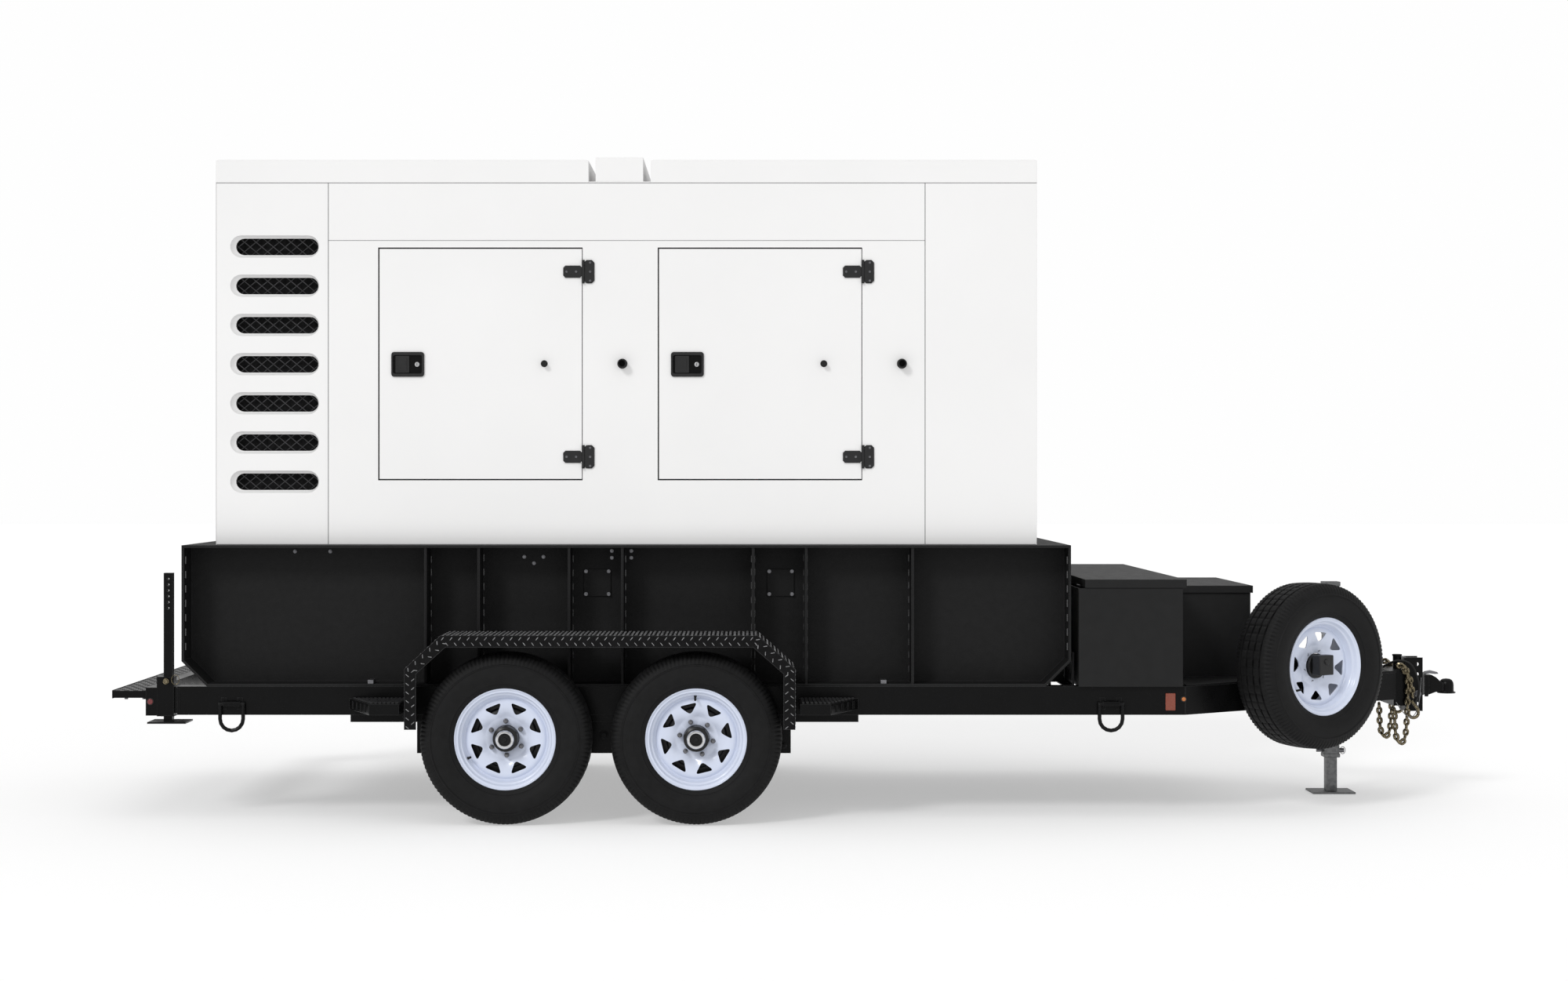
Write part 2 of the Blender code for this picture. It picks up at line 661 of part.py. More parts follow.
node(engine(), "engine", "engine_iron")
node(alternator(), "alternator", "engine_iron")
node(radiator(), "radiator", "radiator_alloy")
node(cooling_fan(), "cooling_fan", "black_plastic", (FAN_X, 0, SHAFT_Z))
node(muffler(), "muffler", "galvanised")
control = union(box((-1.78, -1.40), (-0.74, -0.60), (1.86, 2.30)),
                box((-1.60, -1.56), (-0.66, -0.62), (FLOOR_Z, 1.87)))
node(control, "control_panel", "panel_grey")


# Tool boxes ------------------------------------------------------------------------------
def open_box(x, half_y, z):
    """A sheet-metal box open at the top."""
    outer = box(x, (-half_y, half_y), z)
    inner = box((x[0] + SHEET, x[1] - SHEET), (SHEET - half_y, half_y - SHEET), (z[0] + SHEET, z[1] + 0.1))
    return cut(outer, inner)


def lid(x, half_y, z):
    """A lid folded down at its edges, open below."""
    outer = box(x, (-half_y, half_y), z)
    inner = box((x[0] + SHEET, x[1] - SHEET), (SHEET - half_y, half_y - SHEET), (z[0] - 0.1, z[1] - SHEET))
    return cut(outer, inner)


node(open_box(MAIN_BOX_X, MAIN_BOX_Y, (RAIL_Z[1] + GAP, MAIN_BOX_TOP)), "main_box", "box_grey")
lid_z = MAIN_BOX_TOP + 0.001
node(lid(MAIN_LID_X, MAIN_BOX_Y + 0.004, (lid_z, MAIN_LID_TOP)), "main_box_lid", "box_grey",
     (MAIN_LID_X[0], 0, lid_z))


def front_box():
    """The front tool box on its base plate, which rests on both A-frame beams."""
    x0, x1 = RAIL_X[1] + 0.006, 1.93
    wide, narrow = beam_y(x0) - 0.01, beam_y(x1) - 0.01
    plan = [(x0, wide), (x1, narrow), (x1, -narrow), (x0, -wide)]
    base = prism(plan, RAIL_Z[1] + GAP, RAIL_Z[1] + 0.005)
    return union(base, open_box(FRONT_BOX_X, FRONT_BOX_Y, (RAIL_Z[1] + 0.002, FRONT_BOX_TOP)))


node(front_box(), "front_box", "box_grey")
lid_z = FRONT_BOX_TOP + 0.001
node(lid(FRONT_LID_X, FRONT_LID_Y, (lid_z, FRONT_LID_TOP)), "front_box_lid", "box_grey",
     (FRONT_LID_X[0], 0, lid_z))


# Jacks -----------------------------------------------------------------------------------
def jack_tube():
    """The tongue jack's outer tube, open below."""
    half = JACK_TUBE / 2
    inner = JACK_LEG / 2 + 0.001
    body = box((JACK_X - half, JACK_X + half), (-half, half), (JACK_BOTTOM, JACK_TOP))
    flange = box((JACK_X - 0.07, JACK_X + 0.07), (-0.07, 0.07), (RAIL_Z[1] + 0.0103, RAIL_Z[1] + 0.020))
    bore = box((JACK_X - inner, JACK_X + inner), (-inner, inner), (0.1, JACK_TOP - 0.06))
    return cut(union(body, flange), bore)


def jack_leg():
    """The drop leg with its foot plate."""
    half = JACK_LEG / 2
    leg = box((JACK_X - half, JACK_X + half), (-half, half), (0.004, 0.62))
    foot = box((JACK_X - 0.095, JACK_X + 0.095), (-0.08, 0.08), (0.0, 0.008))
    return union(leg, foot)


def jack_crank():
    """The crank on the jack's left side, folded down."""
    y = JACK_TUBE / 2 + GAP
    points = [(JACK_X, y, 0.90), (JACK_X, y + 0.05, 0.90), (JACK_X, y + 0.07, 0.88),
              (JACK_X, y + 0.07, 0.74), (JACK_X, y + 0.08, 0.725), (JACK_X, y + 0.17, 0.725)]
    return union(tube(points, 0.008), rod((JACK_X, y + 0.09, 0.725), (JACK_X, y + 0.19, 0.725), 0.014, 10))


def stabiliser_leg(side):
    """A rear stabiliser leg with pin holes near its top and a foot plate."""
    half = STAB_W / 2
    y = side * STAB_Y
    leg = box((STAB_X - half, STAB_X + half), (y - half, y + half), (0.404, STAB_TOP))
    foot = box((STAB_X - 0.075, STAB_X + 0.085), (y - 0.07, y + 0.07), (0.398, 0.405))
    holes = []
    for number in range(6):
        z = 0.998 - number * 0.0245
        holes.append(rod((STAB_X, y - 0.03, z), (STAB_X, y + 0.03, z), 0.0055, 8))
    return cut(union(leg, foot), *holes)


node(jack_tube(), "jack_tube", "galvanised")
node(jack_leg(), "jack_leg", "galvanised", (JACK_X, 0, 0))
node(jack_crank(), "jack_crank", "galvanised", (JACK_X, 0, 0.90))
for label, side in SIDES.items():
    node(stabiliser_leg(side), f"{label}_stabiliser_leg", "frame_black", (STAB_X, side * STAB_Y, 0.4))


# Coupler, tie-down rings, spare and safety gear --------------------------------------------
def coupler():
    """The coupler: neck, flared lip and domed ball socket, open below."""
    x, z, radius = BALL
    neck = box((CHANNEL_X[0] + 0.0105, x - 0.01), (-0.0415, 0.0415), (0.455, 0.520))
    dome = rod((x, 0, z - 0.030), (x, 0, z + 0.025), radius + 0.010, 20)
    crown = rod((x, 0, z + 0.020), (x, 0, z + 0.045), radius + 0.010, 20, end_radius=0.018)
    lip = rod((x, 0, z - 0.036), (x, 0, z - 0.026), 0.047, 20)
    socket = rod((x, 0, z - 0.05), (x, 0, z + 0.012), 0.0275, 16)
    return cut(union(neck, dome, crown, lip), socket)


def coupler_latch():
    """The coupler's latch lever on top of the neck."""
    return box((LATCH_PIVOT[0], 2.825), (-0.012, 0.012), (0.5205, 0.532))


def tie_down_ring(side, x):
    """A welded D-ring hanging from the rail."""
    y = side * (RAIL_Y + 0.012)
    top = 0.480
    points = [(x - RING_HALF, y, top), (x - RING_HALF, y, 0.415)]
    for step in range(1, 8):
        angle = math.pi + math.pi * step / 8
        points.append((x + RING_HALF * math.cos(angle), y, 0.415 + RING_HALF * math.sin(angle)))
    points += [(x + RING_HALF, y, 0.415), (x + RING_HALF, y, top)]
    bar = rod((x - RING_HALF - 0.006, y, top - 0.002), (x + RING_HALF + 0.006, y, top - 0.002), RING_ROD, 8)
    return union(tube(points, RING_ROD), bar)


def chain_loop(y):
    """The solid envelope of a chain that hangs in a loop from the tongue."""
    rear, front = CHAIN_X
    rear_z, bend_z, front_z = CHAIN_Z
    middle, reach = (rear + front) / 2, (front - rear) / 2
    points = [(rear, y, rear_z), (rear, y, (rear_z + bend_z) / 2)]
    for step in range(9):
        angle = math.pi + math.pi * step / 8
        points.append((middle + reach * math.cos(angle), y, bend_z + reach * math.sin(angle)))
    points += [(front, y, (front_z + bend_z) / 2), (front, y, front_z)]
    return tube(points, CHAIN_R)


def hanging_cable(start, low, end, radius):
    """A cable that hangs in a shallow curve between two points."""
    start, low, end = Vector(start), Vector(low), Vector(end)
    points = []
    for step in range(13):
        t = step / 12
        along = start.lerp(end, t)
        drop = 4 * t * (1 - t)
        points.append(along + (low - (start + end) / 2) * drop)
    return tube(points, radius)


node(coupler(), "coupler", "frame_black")
node(coupler_latch(), "coupler_latch", "frame_black", LATCH_PIVOT)
for label, side in SIDES.items():
    for end, x in zip(("rear", "front"), RING_X):
        node(tie_down_ring(side, x), f"{label}_{end}_tie_down_ring", "frame_black",
             (x, side * (RAIL_Y + 0.012), 0.478), smooth=True)
outward = (math.sin(SPARE_TURN), -math.cos(SPARE_TURN), 0)
spare_tyre = place(turned(tyre_profile(), WHEEL_STEPS), SPARE, outward)
node(spare_tyre, "spare_tyre", "tyre_rubber", SPARE, smooth=True)
node(place(wheel_solid(), SPARE, outward), "spare_wheel", "wheel_white", SPARE, smooth=True)
for label, side in SIDES.items():
    node(chain_loop(side * CHAIN_Y), f"{label}_safety_chain", "yellow_zinc")
cable = hanging_cable((2.60, -0.165, 0.42), (2.68, -0.16, 0.36), (2.74, -0.0565, 0.52), 0.0025)
node(cable, "breakaway_cable", "steel_cable")
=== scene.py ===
"""Looks of the towable diesel generator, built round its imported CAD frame.

Metres, +Z up, +X towards the tow coupler, the right side at -Y.
"""
import json
import math
import random

import bmesh
import bpy
from mathutils import Matrix, Vector


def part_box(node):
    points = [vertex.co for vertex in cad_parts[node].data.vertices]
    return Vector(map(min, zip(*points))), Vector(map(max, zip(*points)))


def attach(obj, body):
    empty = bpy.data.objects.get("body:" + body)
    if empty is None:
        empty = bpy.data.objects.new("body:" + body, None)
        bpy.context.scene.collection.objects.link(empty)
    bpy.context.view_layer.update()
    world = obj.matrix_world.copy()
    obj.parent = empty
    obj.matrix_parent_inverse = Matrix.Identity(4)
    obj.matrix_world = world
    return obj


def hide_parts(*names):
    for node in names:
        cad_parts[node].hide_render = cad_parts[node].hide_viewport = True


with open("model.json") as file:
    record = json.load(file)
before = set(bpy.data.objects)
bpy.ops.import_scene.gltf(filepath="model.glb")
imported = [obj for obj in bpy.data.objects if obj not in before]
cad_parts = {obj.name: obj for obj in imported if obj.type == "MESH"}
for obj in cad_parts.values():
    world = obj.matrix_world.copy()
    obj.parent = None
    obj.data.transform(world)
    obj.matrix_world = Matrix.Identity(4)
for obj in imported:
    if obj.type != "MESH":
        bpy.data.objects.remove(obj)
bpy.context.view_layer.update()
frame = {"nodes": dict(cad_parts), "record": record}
nodes = frame["nodes"]
TAU = math.tau
SIDES = {"right": -1, "left": 1}
ENDS = ("rear", "front")

# Places read from the frame ---------------------------------------------------------------
HOUSE_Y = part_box("left_side_panel")[1][1]
(SEAM_REAR, _, HOUSE_Z0), (SEAM_FRONT, _, HOUSE_Z1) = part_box("right_side_panel")
HOUSE_X0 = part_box("louvre_section")[0][0]
HOUSE_X1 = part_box("front_section")[1][0]
RAIL_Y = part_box("left_tongue_beam")[1][1]
RAIL_START, RAIL_END = (corner[0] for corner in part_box("left_rail"))
TANK_LOW, TANK_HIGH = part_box("fuel_tank")


def middle(node):
    """The centre of a CAD node's box."""
    return [(a + b) / 2 for a, b in zip(*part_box(node))]


def wall(side, depth):
    """Y at a depth outside the enclosure's side wall."""
    return side * (HOUSE_Y + depth)


def rail(side, depth):
    """Y at a depth outside the side rail."""
    return side * (RAIL_Y + depth)


def span(centre, half):
    """The two ends of a stretch that is centred on a value."""
    return centre - half, centre + half


def lerp(a, b, t):
    return a + (b - a) * t


# Materials --------------------------------------------------------------------------------
def set_inputs(node, **values):
    """Set a node's inputs by name; an underscore stands for a space."""
    for name, value in values.items():
        node.inputs[name.replace("_", " ")].default_value = value


def add_node(tree, kind, **values):
    node = tree.nodes.new("ShaderNode" + kind)
    set_inputs(node, **values)
    return node


def add_ramp(tree, colour, dark, light):
    """A colour ramp from a darker to a lighter shade of a colour."""
    ramp = add_node(tree, "ValToRGB")
    for stop, shade in zip(ramp.color_ramp.elements, (dark, light)):
        stop.color = (*[min(1, channel * shade) for channel in colour], 1)
    return ramp


def add_bevel(tree, radius):
    node = add_node(tree, "Bevel", Radius=radius)
    node.samples = 4
    return node


def material(name, colour, rough, metal=0.0, vary=0.12, scale=6.0, bump=0.0, bump_scale=300.0,
             coat=0.0, wear=None, round_edge=0.0, rough_vary=0.10, gloss=0.5):
    """A Principled material with noise in its colour, roughness and surface."""
    made = bpy.data.materials.new(name)
    made.use_nodes = True
    tree = made.node_tree
    link = tree.links.new
    shader = tree.nodes["Principled BSDF"]
    set_inputs(shader, Metallic=metal, Coat_Weight=coat, Coat_Roughness=0.08, Specular_IOR_Level=gloss)
    where = add_node(tree, "TexCoord")
    blotch = add_node(tree, "TexNoise", Scale=scale, Detail=6.0)
    link(where.outputs["Object"], blotch.inputs["Vector"])
    ramp = add_ramp(tree, colour, 1 - vary, 1 + vary)
    ramp.color_ramp.elements[0].position = 0.3
    ramp.color_ramp.elements[1].position = 0.7
    link(blotch.outputs["Fac"], ramp.inputs["Fac"])
    tint = ramp.outputs["Color"]
    # Lighter colour along rounded edges, where the bevelled normal leaves the true one: partly edge wear,
    # partly a painted highlight on the edges.
    if wear:
        shape = add_node(tree, "NewGeometry")
        facing_way = add_node(tree, "VectorMath")
        facing_way.operation = "DOT_PRODUCT"
        link(add_bevel(tree, 0.004).outputs["Normal"], facing_way.inputs[0])
        link(shape.outputs["True Normal"], facing_way.inputs[1])
        edge = add_node(tree, "MapRange", From_Min=0.985, From_Max=0.80, To_Max=0.8)
        link(facing_way.outputs["Value"], edge.inputs["Value"])
        mix = add_node(tree, "Mix")
        mix.data_type = "RGBA"
        link(edge.outputs["Result"], mix.inputs["Factor"])
        link(tint, mix.inputs["A"])
        set_inputs(mix, B=(*wear, 1))
        tint = mix.outputs["Result"]
    link(tint, shader.inputs["Base Color"])
    spread = add_node(tree, "MapRange", To_Min=max(0.02, rough - rough_vary),
                      To_Max=min(1.0, rough + rough_vary))
    link(blotch.outputs["Fac"], spread.inputs["Value"])
    link(spread.outputs["Result"], shader.inputs["Roughness"])
    normal = add_bevel(tree, round_edge).outputs["Normal"] if round_edge else None
    if bump:
        grain = add_node(tree, "TexNoise", Scale=bump_scale, Detail=3.0)
        link(where.outputs["Object"], grain.inputs["Vector"])
        raised = add_node(tree, "Bump", Strength=bump, Distance=0.002)
        link(grain.outputs["Fac"], raised.inputs["Height"])
        if normal:
            link(normal, raised.inputs["Normal"])
        normal = raised.outputs["Normal"]
    if normal:
        link(normal, shader.inputs["Normal"])
    return made


def spangled(name, colour, rough):
    """Galvanised steel: crystals of slightly different grey."""
    made = material(name, colour, rough, metal=0.9, vary=0.1, bump=0.1, bump_scale=200)
    tree = made.node_tree
    where, cells = add_node(tree, "TexCoord"), add_node(tree, "TexVoronoi", Scale=90.0)
    ramp = add_ramp(tree, colour, 0.75, 1.3)
    tree.links.new(where.outputs["Object"], cells.inputs["Vector"])
    tree.links.new(cells.outputs["Color"], ramp.inputs["Fac"])
    tree.links.new(ramp.outputs["Color"], tree.nodes["Principled BSDF"].inputs["Base Color"])
    return made


MAT = {"galvanised": spangled("galvanised", (0.150, 0.152, 0.154), 0.5)}


def look(slot, colour, rough, name=None, **extras):
    """Make a material and file it under the slot that the pieces ask for."""
    MAT[slot] = material(name or slot, colour, rough, **extras)


look("housing_white", (0.812, 0.809, 0.806), 0.42, vary=0.012, scale=2, bump=0.05, bump_scale=260, coat=0.15,
     round_edge=0.003, rough_vary=0.04)
# The edge colours of frame_black, tank_black and tread_plate are partly wear, partly painted edge highlight.
look("frame_black", (0.0034, 0.0034, 0.0035), 0.28, scale=14, bump=0.12, bump_scale=90,
     wear=(0.045, 0.045, 0.046), round_edge=0.003, gloss=0.10)
look("tank_black", (0.0108, 0.0108, 0.0110), 0.52, scale=30, bump=0.55, bump_scale=420,
     wear=(0.050, 0.050, 0.051), round_edge=0.002, gloss=0.12)
look("box_grey", (0.0115, 0.0116, 0.0118), 0.50, vary=0.10, scale=20, bump=0.35, bump_scale=700,
     round_edge=0.003, gloss=0.16)
look("tread_plate", (0.0040, 0.0040, 0.0042), 0.26, vary=0.3, scale=25, bump=0.1, bump_scale=150,
     wear=(0.09, 0.09, 0.092), round_edge=0.0015, gloss=0.10)
# The tread bars get a far lighter grey than their plate, with strong tone noise: painted glints on the bars.
look("tread_bar", (0.180, 0.180, 0.184), 0.26, "tread_bar_painted_glints", vary=0.45, scale=90, gloss=0.6)
look("grip_bar", (0.020, 0.020, 0.021), 0.30, "grip_bar_tops", vary=0.3, scale=90, gloss=0.4)
look("tyre_rubber", (0.0064, 0.0064, 0.0066), 0.60, vary=0.25, scale=30, bump=0.25, bump_scale=350,
     gloss=0.16)
look("wheel_white", (0.62, 0.67, 0.80), 0.32, vary=0.02, scale=12, bump=0.04, bump_scale=200, coat=0.3,
     round_edge=0.001)
# The zinc's strong, fine tone noise is painted glints and dark spots on the links, pins and hooks, over their
# own yellow zinc colour.
look("yellow_zinc", (0.165, 0.138, 0.088), 0.20, metal=0.95, vary=0.85, scale=150, bump=0.1)
look("steel_cable", (0.20, 0.20, 0.205), 0.34, metal=1, vary=0.2, scale=300, bump=0.4, bump_scale=900)
look("black_plastic", (0.0095, 0.0095, 0.0098), 0.42, vary=0.15, scale=40, bump=0.15, bump_scale=900,
     round_edge=0.001, gloss=0.35)
look("engine_iron", (0.055, 0.058, 0.062), 0.50, metal=0.2, vary=0.3, scale=18, bump=0.5, bump_scale=160,
     round_edge=0.006)
look("radiator_alloy", (0.10, 0.10, 0.105), 0.5, metal=0.7, vary=0.2, scale=40)
look("panel_grey", (0.24, 0.25, 0.26), 0.42, vary=0.05, scale=15, bump=0.1, round_edge=0.003)
look("seam", (0.22, 0.22, 0.225), 0.8, "seam_shadow", vary=0.1, scale=50)
# Dark rubber of the lid seals; the same black is painted shade in the door gaps, key slits and stud holes and
# behind the discharge grille.
look("seal_and_shade_black", (0.012, 0.012, 0.0125), 0.75, "dark_seal_and_gap_shade", vary=0.2, scale=60, bump=0.2, gloss=0.1)
look("foam", (0.014, 0.014, 0.0145), 0.95, "acoustic_foam", vary=0.4, scale=70, bump=0.9, bump_scale=140,
     gloss=0.05)
look("chrome", (0.62, 0.62, 0.63), 0.16, "polished_steel", metal=1, vary=0.06, scale=30, rough_vary=0.06)
look("lug", (0.16, 0.16, 0.17), 0.30, "plated_nut", metal=0.9, vary=0.2, scale=80)
look("hub", (0.008, 0.008, 0.0085), 0.35, "hub_black", vary=0.2, scale=40, gloss=0.3)
look("mesh_black", (0.050, 0.050, 0.052), 0.5, "expanded_mesh", vary=0.3, scale=50, gloss=0.2)
look("red_lens", (0.13, 0.004, 0.006), 0.15, vary=0.1, scale=200, coat=0.5)
look("amber_lens", (0.42, 0.12, 0.012), 0.15, vary=0.1, scale=200, coat=0.5)
look("orange_reflector", (0.20, 0.028, 0.005), 0.25, scale=500, bump=0.7, bump_scale=1200, coat=0.4)
look("screen", (0.02, 0.05, 0.06), 0.08, "screen_glass", vary=0.05, scale=10, coat=0.6)
look("red_paint", (0.50, 0.02, 0.02), 0.35, "switch_red", vary=0.06, scale=30)
look("hose", (0.0095, 0.0095, 0.0095), 0.6, "rubber_hose", vary=0.2, scale=90, bump=0.3, gloss=0.2)
look("weld", (0.030, 0.030, 0.031), 0.20, "weld_bead", vary=0.5, scale=120, bump=0.4, bump_scale=500,
     gloss=0.8)
look("copper_red", (0.45, 0.03, 0.02), 0.45, "lead_red", vary=0.1, scale=60)
for cad_name, cad_object in nodes.items():
    wanted = next(s["material_slot"] for s in frame["record"]["subparts"] if s["node"] == cad_name)
    cad_object.data.materials.clear()
    cad_object.data.materials.append(MAT[wanted])


# Mesh tools -------------------------------------------------------------------------------
PLANES = {"XZ": (0, 2, 1), "XY": (0, 1, 2), "YZ": (2, 0, 1)}     # where X, Y and Z are found in (u, v, w)


def add_object(name, data):
    """Link a new object to the scene."""
    made = bpy.data.objects.new(name, data)
    bpy.context.scene.collection.objects.link(made)
    return made


class Shape:
    """A mesh being built: most methods add to it and return it."""

    def __init__(self, bm=None):
        self.bm = bmesh.new() if bm is None else bm

    def box(self, x, y, z, matrix=None):
        """A box between two values on each axis."""
        low = Vector((min(x), min(y), min(z)))
        size = Vector((max(x), max(y), max(z))) - low
        place = Matrix.Translation(low + size / 2) @ Matrix.Diagonal((*size, 1.0))
        bmesh.ops.create_cube(self.bm, size=1.0, matrix=matrix @ place if matrix else place)
        return self

    def rod(self, start, end, radius, sides=16, end_radius=None):
        """A round bar or a cone between two points."""
        start, end = Vector(start), Vector(end)
        run = end - start
        turn = run.to_track_quat("Z", "Y").to_matrix().to_4x4()
        bmesh.ops.create_cone(
            self.bm, cap_ends=True, segments=sides, radius1=radius, depth=run.length,
            radius2=radius if end_radius is None else end_radius,
            matrix=Matrix.Translation((start + end) / 2) @ turn)
        return self

    def pin(self, start, axis, end, radius, sides=16):
        """A round bar from a point to a value on one axis."""
        stop = Vector(start)
        stop["XYZ".index(axis)] = end
        return self.rod(start, stop, radius, sides)

    def bolt(self, place, out, size=0.008, head=0.006):
        """A hexagon head on a washer, facing out."""
        place, out = Vector(place), Vector(out).normalized()
        self.rod(place, place + out * head * 0.25, size * 1.35, 14)
        return self.rod(place + out * head * 0.2, place + out * head, size, 6)

    def lathe(self, profile, steps, matrix=None, closed=True, reshape=None):
        """A turned shape about Z from a (radius, height) profile, which reshape may alter at each step."""
        rings = []
        for step in range(steps):
            cos, sin = math.cos(TAU * step / steps), math.sin(TAU * step / steps)
            ring = []
            for radius, height in profile:
                if reshape:
                    radius, height = reshape(step, radius, height)
                point = Vector((radius * cos, radius * sin, height))
                ring.append(self.bm.verts.new(matrix @ point if matrix else point))
            rings.append(ring)
        for here, there in zip(rings, rings[1:] + rings[:1]):
            for i in range(len(profile) if closed else len(profile) - 1):
                j = (i + 1) % len(profile)
                self.bm.faces.new((here[i], there[i], there[j], here[j]))
        return self

    def skin(self, here, there):
        """Faces between two rings of vertices."""
        for i in range(len(here)):
            j = (i + 1) % len(here)
            self.bm.faces.new((here[i], here[j], there[j], there[i]))

    def loft(self, levels):
        """Faces from each ring of points to the next. Returns the rings of vertices."""
        rings = [[self.bm.verts.new(point) for point in level] for level in levels]
        for here, there in zip(rings, rings[1:]):
            self.skin(here, there)
        return rings

    def sweep(self, points, radius, sides=8, cyclic=False):
        """A round wire through the points, which may close on itself."""
        points = [Vector(p) for p in points]
        count = len(points)
        rings = []
        side_way = None
        for i, point in enumerate(points):
            if cyclic:
                ahead = points[(i + 1) % count] - points[i - 1]
            else:
                ahead = points[min(i + 1, count - 1)] - points[max(i - 1, 0)]
            ahead.normalize()
            if side_way is None:
                side_way = ahead.orthogonal().normalized()
            side_way = (side_way - ahead * side_way.dot(ahead)).normalized()
            up = ahead.cross(side_way)
            ring = []
            for k in range(sides):
                cos, sin = math.cos(TAU * k / sides), math.sin(TAU * k / sides)
                ring.append(self.bm.verts.new(point + (side_way * cos + up * sin) * radius))
            rings.append(ring)
        for i in range(count if cyclic else count - 1):
            self.skin(rings[i], rings[(i + 1) % count])
        if not cyclic:
            self.bm.faces.new(rings[0][::-1])
            self.bm.faces.new(rings[-1])
        return self

    def plate(self, outline, start, end, plane="XZ"):
        """A flat plate from an outline; the third axis runs between the two values."""
        bottom, top = [], []
        for ring, w in zip((bottom, top), sorted((start, end))):
            for u, v in outline:
                ring.append(self.bm.verts.new([(u, v, w)[k] for k in PLANES[plane]]))
        self.bm.faces.new(bottom)
        self.bm.faces.new(top[::-1])
        for i in range(len(outline)):
            j = (i + 1) % len(outline)
            self.bm.faces.new((bottom[j], bottom[i], top[i], top[j]))
        return self

    def mesh(self, name):
        """Turn the shape into a mesh, which uses it up."""
        bmesh.ops.recalc_face_normals(self.bm, faces=self.bm.faces)
        mesh = bpy.data.meshes.new(name)
        self.bm.to_mesh(mesh)
        self.bm.free()
        return mesh

    def piece(self, name, look, body="chassis", slot=None, bevel=0.0, smooth=True, matrix=None,
              stands_for=()):
        """Make the shape an object, give it its look, and let it ride its body."""
        mesh = self.mesh(name)
        if matrix:
            mesh.transform(matrix)
        made = add_object(name, mesh)
        mesh.materials.append(MAT[look])
        if bevel:
            edge = made.modifiers.new("edge", "BEVEL")
            edge.width = bevel
            edge.segments = 2
            edge.limit_method = "ANGLE"
            edge.angle_limit = math.radians(40)
        if smooth:
            mesh.shade_smooth()
            mesh.set_sharp_from_angle(angle=math.radians(38))
        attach(made, body)
        if stands_for:
            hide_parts(*stands_for)
        return made


def rounded(x, z, radius, steps=5):
    """Outline of a rectangle with round corners, between two values on each axis."""
    outline = []
    corners = ((x[1] - radius, z[1] - radius, 0), (x[0] + radius, z[1] - radius, 90),
               (x[0] + radius, z[0] + radius, 180), (x[1] - radius, z[0] + radius, 270))
    for cx, cz, start in corners:
        for step in range(steps + 1):
            angle = math.radians(start + 90 * step / steps)
            outline.append((cx + radius * math.cos(angle), cz + radius * math.sin(angle)))
    return outline


def chamfered(x, z, cut):
    """Outline of a rectangle with its four corners cut off."""
    return [(x[0] + cut, z[0]), (x[1] - cut, z[0]), (x[1], z[0] + cut), (x[1], z[1] - cut),
            (x[1] - cut, z[1]), (x[0] + cut, z[1]), (x[0], z[1] - cut), (x[0], z[0] + cut)]


def oval(x, y, z, wide, high, count):
    """Points of an upright oval that is seen whole from the side."""
    turns = [TAU * number / count for number in range(count)]
    return [(x + wide * math.cos(turn), y, z + high * math.sin(turn)) for turn in turns]


def arc_path(points, steps=40):
    """A smooth path through the points (Catmull-Rom)."""
    points = [Vector(p) for p in points]
    points = [points[0] * 2 - points[1]] + points + [points[-1] * 2 - points[-2]]
    share = steps // (len(points) - 3)
    path = []
    for i in range(1, len(points) - 2):
        a, b, c, d = points[i - 1:i + 3]
        for step in range(share):
            t = step / share
            path.append(0.5 * ((2 * b) + (c - a) * t + (2 * a - 5 * b + 4 * c - d) * t ** 2
                               + (3 * b - a - 3 * c + d) * t ** 3))
    path.append(points[-2])
    return path


def facing(place, outward):
    """Matrix that stands a shape at a place with its +Z outward."""
    return Matrix.Translation(place) @ Vector(outward).to_track_quat("Z", "Y").to_matrix().to_4x4()


def spin(place, degrees):
    return place @ Matrix.Rotation(math.radians(degrees), 4, "Z")


# Wheels and tyres -------------------------------------------------------------------------
tyre_low, tyre_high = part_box("right_rear_tyre")
TYRE_R = (tyre_high[2] - tyre_low[2]) / 2
LIP_R = 0.208
GROOVES = ((-0.055, 0.009), (-0.019, 0.008), (0.019, 0.008), (0.055, 0.009))     # place and width
SHOULDER_Y, SHOULDER_DROP, GROOVE_DEPTH, NOTCH_DEPTH = 0.083, 0.0042, 0.009, 0.003
WALL = [
    (0.203, 0.078), (0.207, 0.088), (0.214, 0.094), (0.226, 0.099), (0.2275, 0.102), (0.234, 0.103),
    (0.248, 0.1085), (0.262, 0.1115), (0.276, 0.1122), (0.29, 0.1118), (0.3, 0.1102), (0.3015, 0.1122),
    (0.306, 0.1118), (0.3075, 0.109), (0.318, 0.106), (0.328, 0.101), (0.336, 0.0955), (0.3405, 0.09)]


def tyre_mesh():
    """A ribbed highway tyre about Z: grooved tread, notched shoulders and ringed walls."""
    tread = [(TYRE_R - SHOULDER_DROP, SHOULDER_Y)]
    for low, high in sorted(((c - w / 2, c + w / 2) for c, w in GROOVES), reverse=True):
        for y, deep in ((high + 0.0008, 0), (high - 0.0012, 1), (low + 0.0012, 1), (low - 0.0008, 0)):
            drop = GROOVE_DEPTH if deep else SHOULDER_DROP * (y / SHOULDER_Y) ** 2
            tread.append((TYRE_R - drop, y))
    tread.append((TYRE_R - SHOULDER_DROP, -SHOULDER_Y))

    def notch(step, radius, y):
        if step % 3 == 0 and abs(y) > 0.080 and radius > 0.312:
            y -= math.copysign(NOTCH_DEPTH, y)
        if step % 3 == 0 and abs(y) > 0.062 and radius > 0.334:
            radius -= 0.0034
        if abs(y) < 0.06 and radius > TYRE_R - 0.006:
            y += 0.0014 * (1 if step % 12 < 6 else -1)
            if step % 6 == 0:
                radius -= NOTCH_DEPTH
        return radius, y

    return Shape().lathe(WALL + tread + [(r, -y) for r, y in reversed(WALL)], 360, reshape=notch).bm


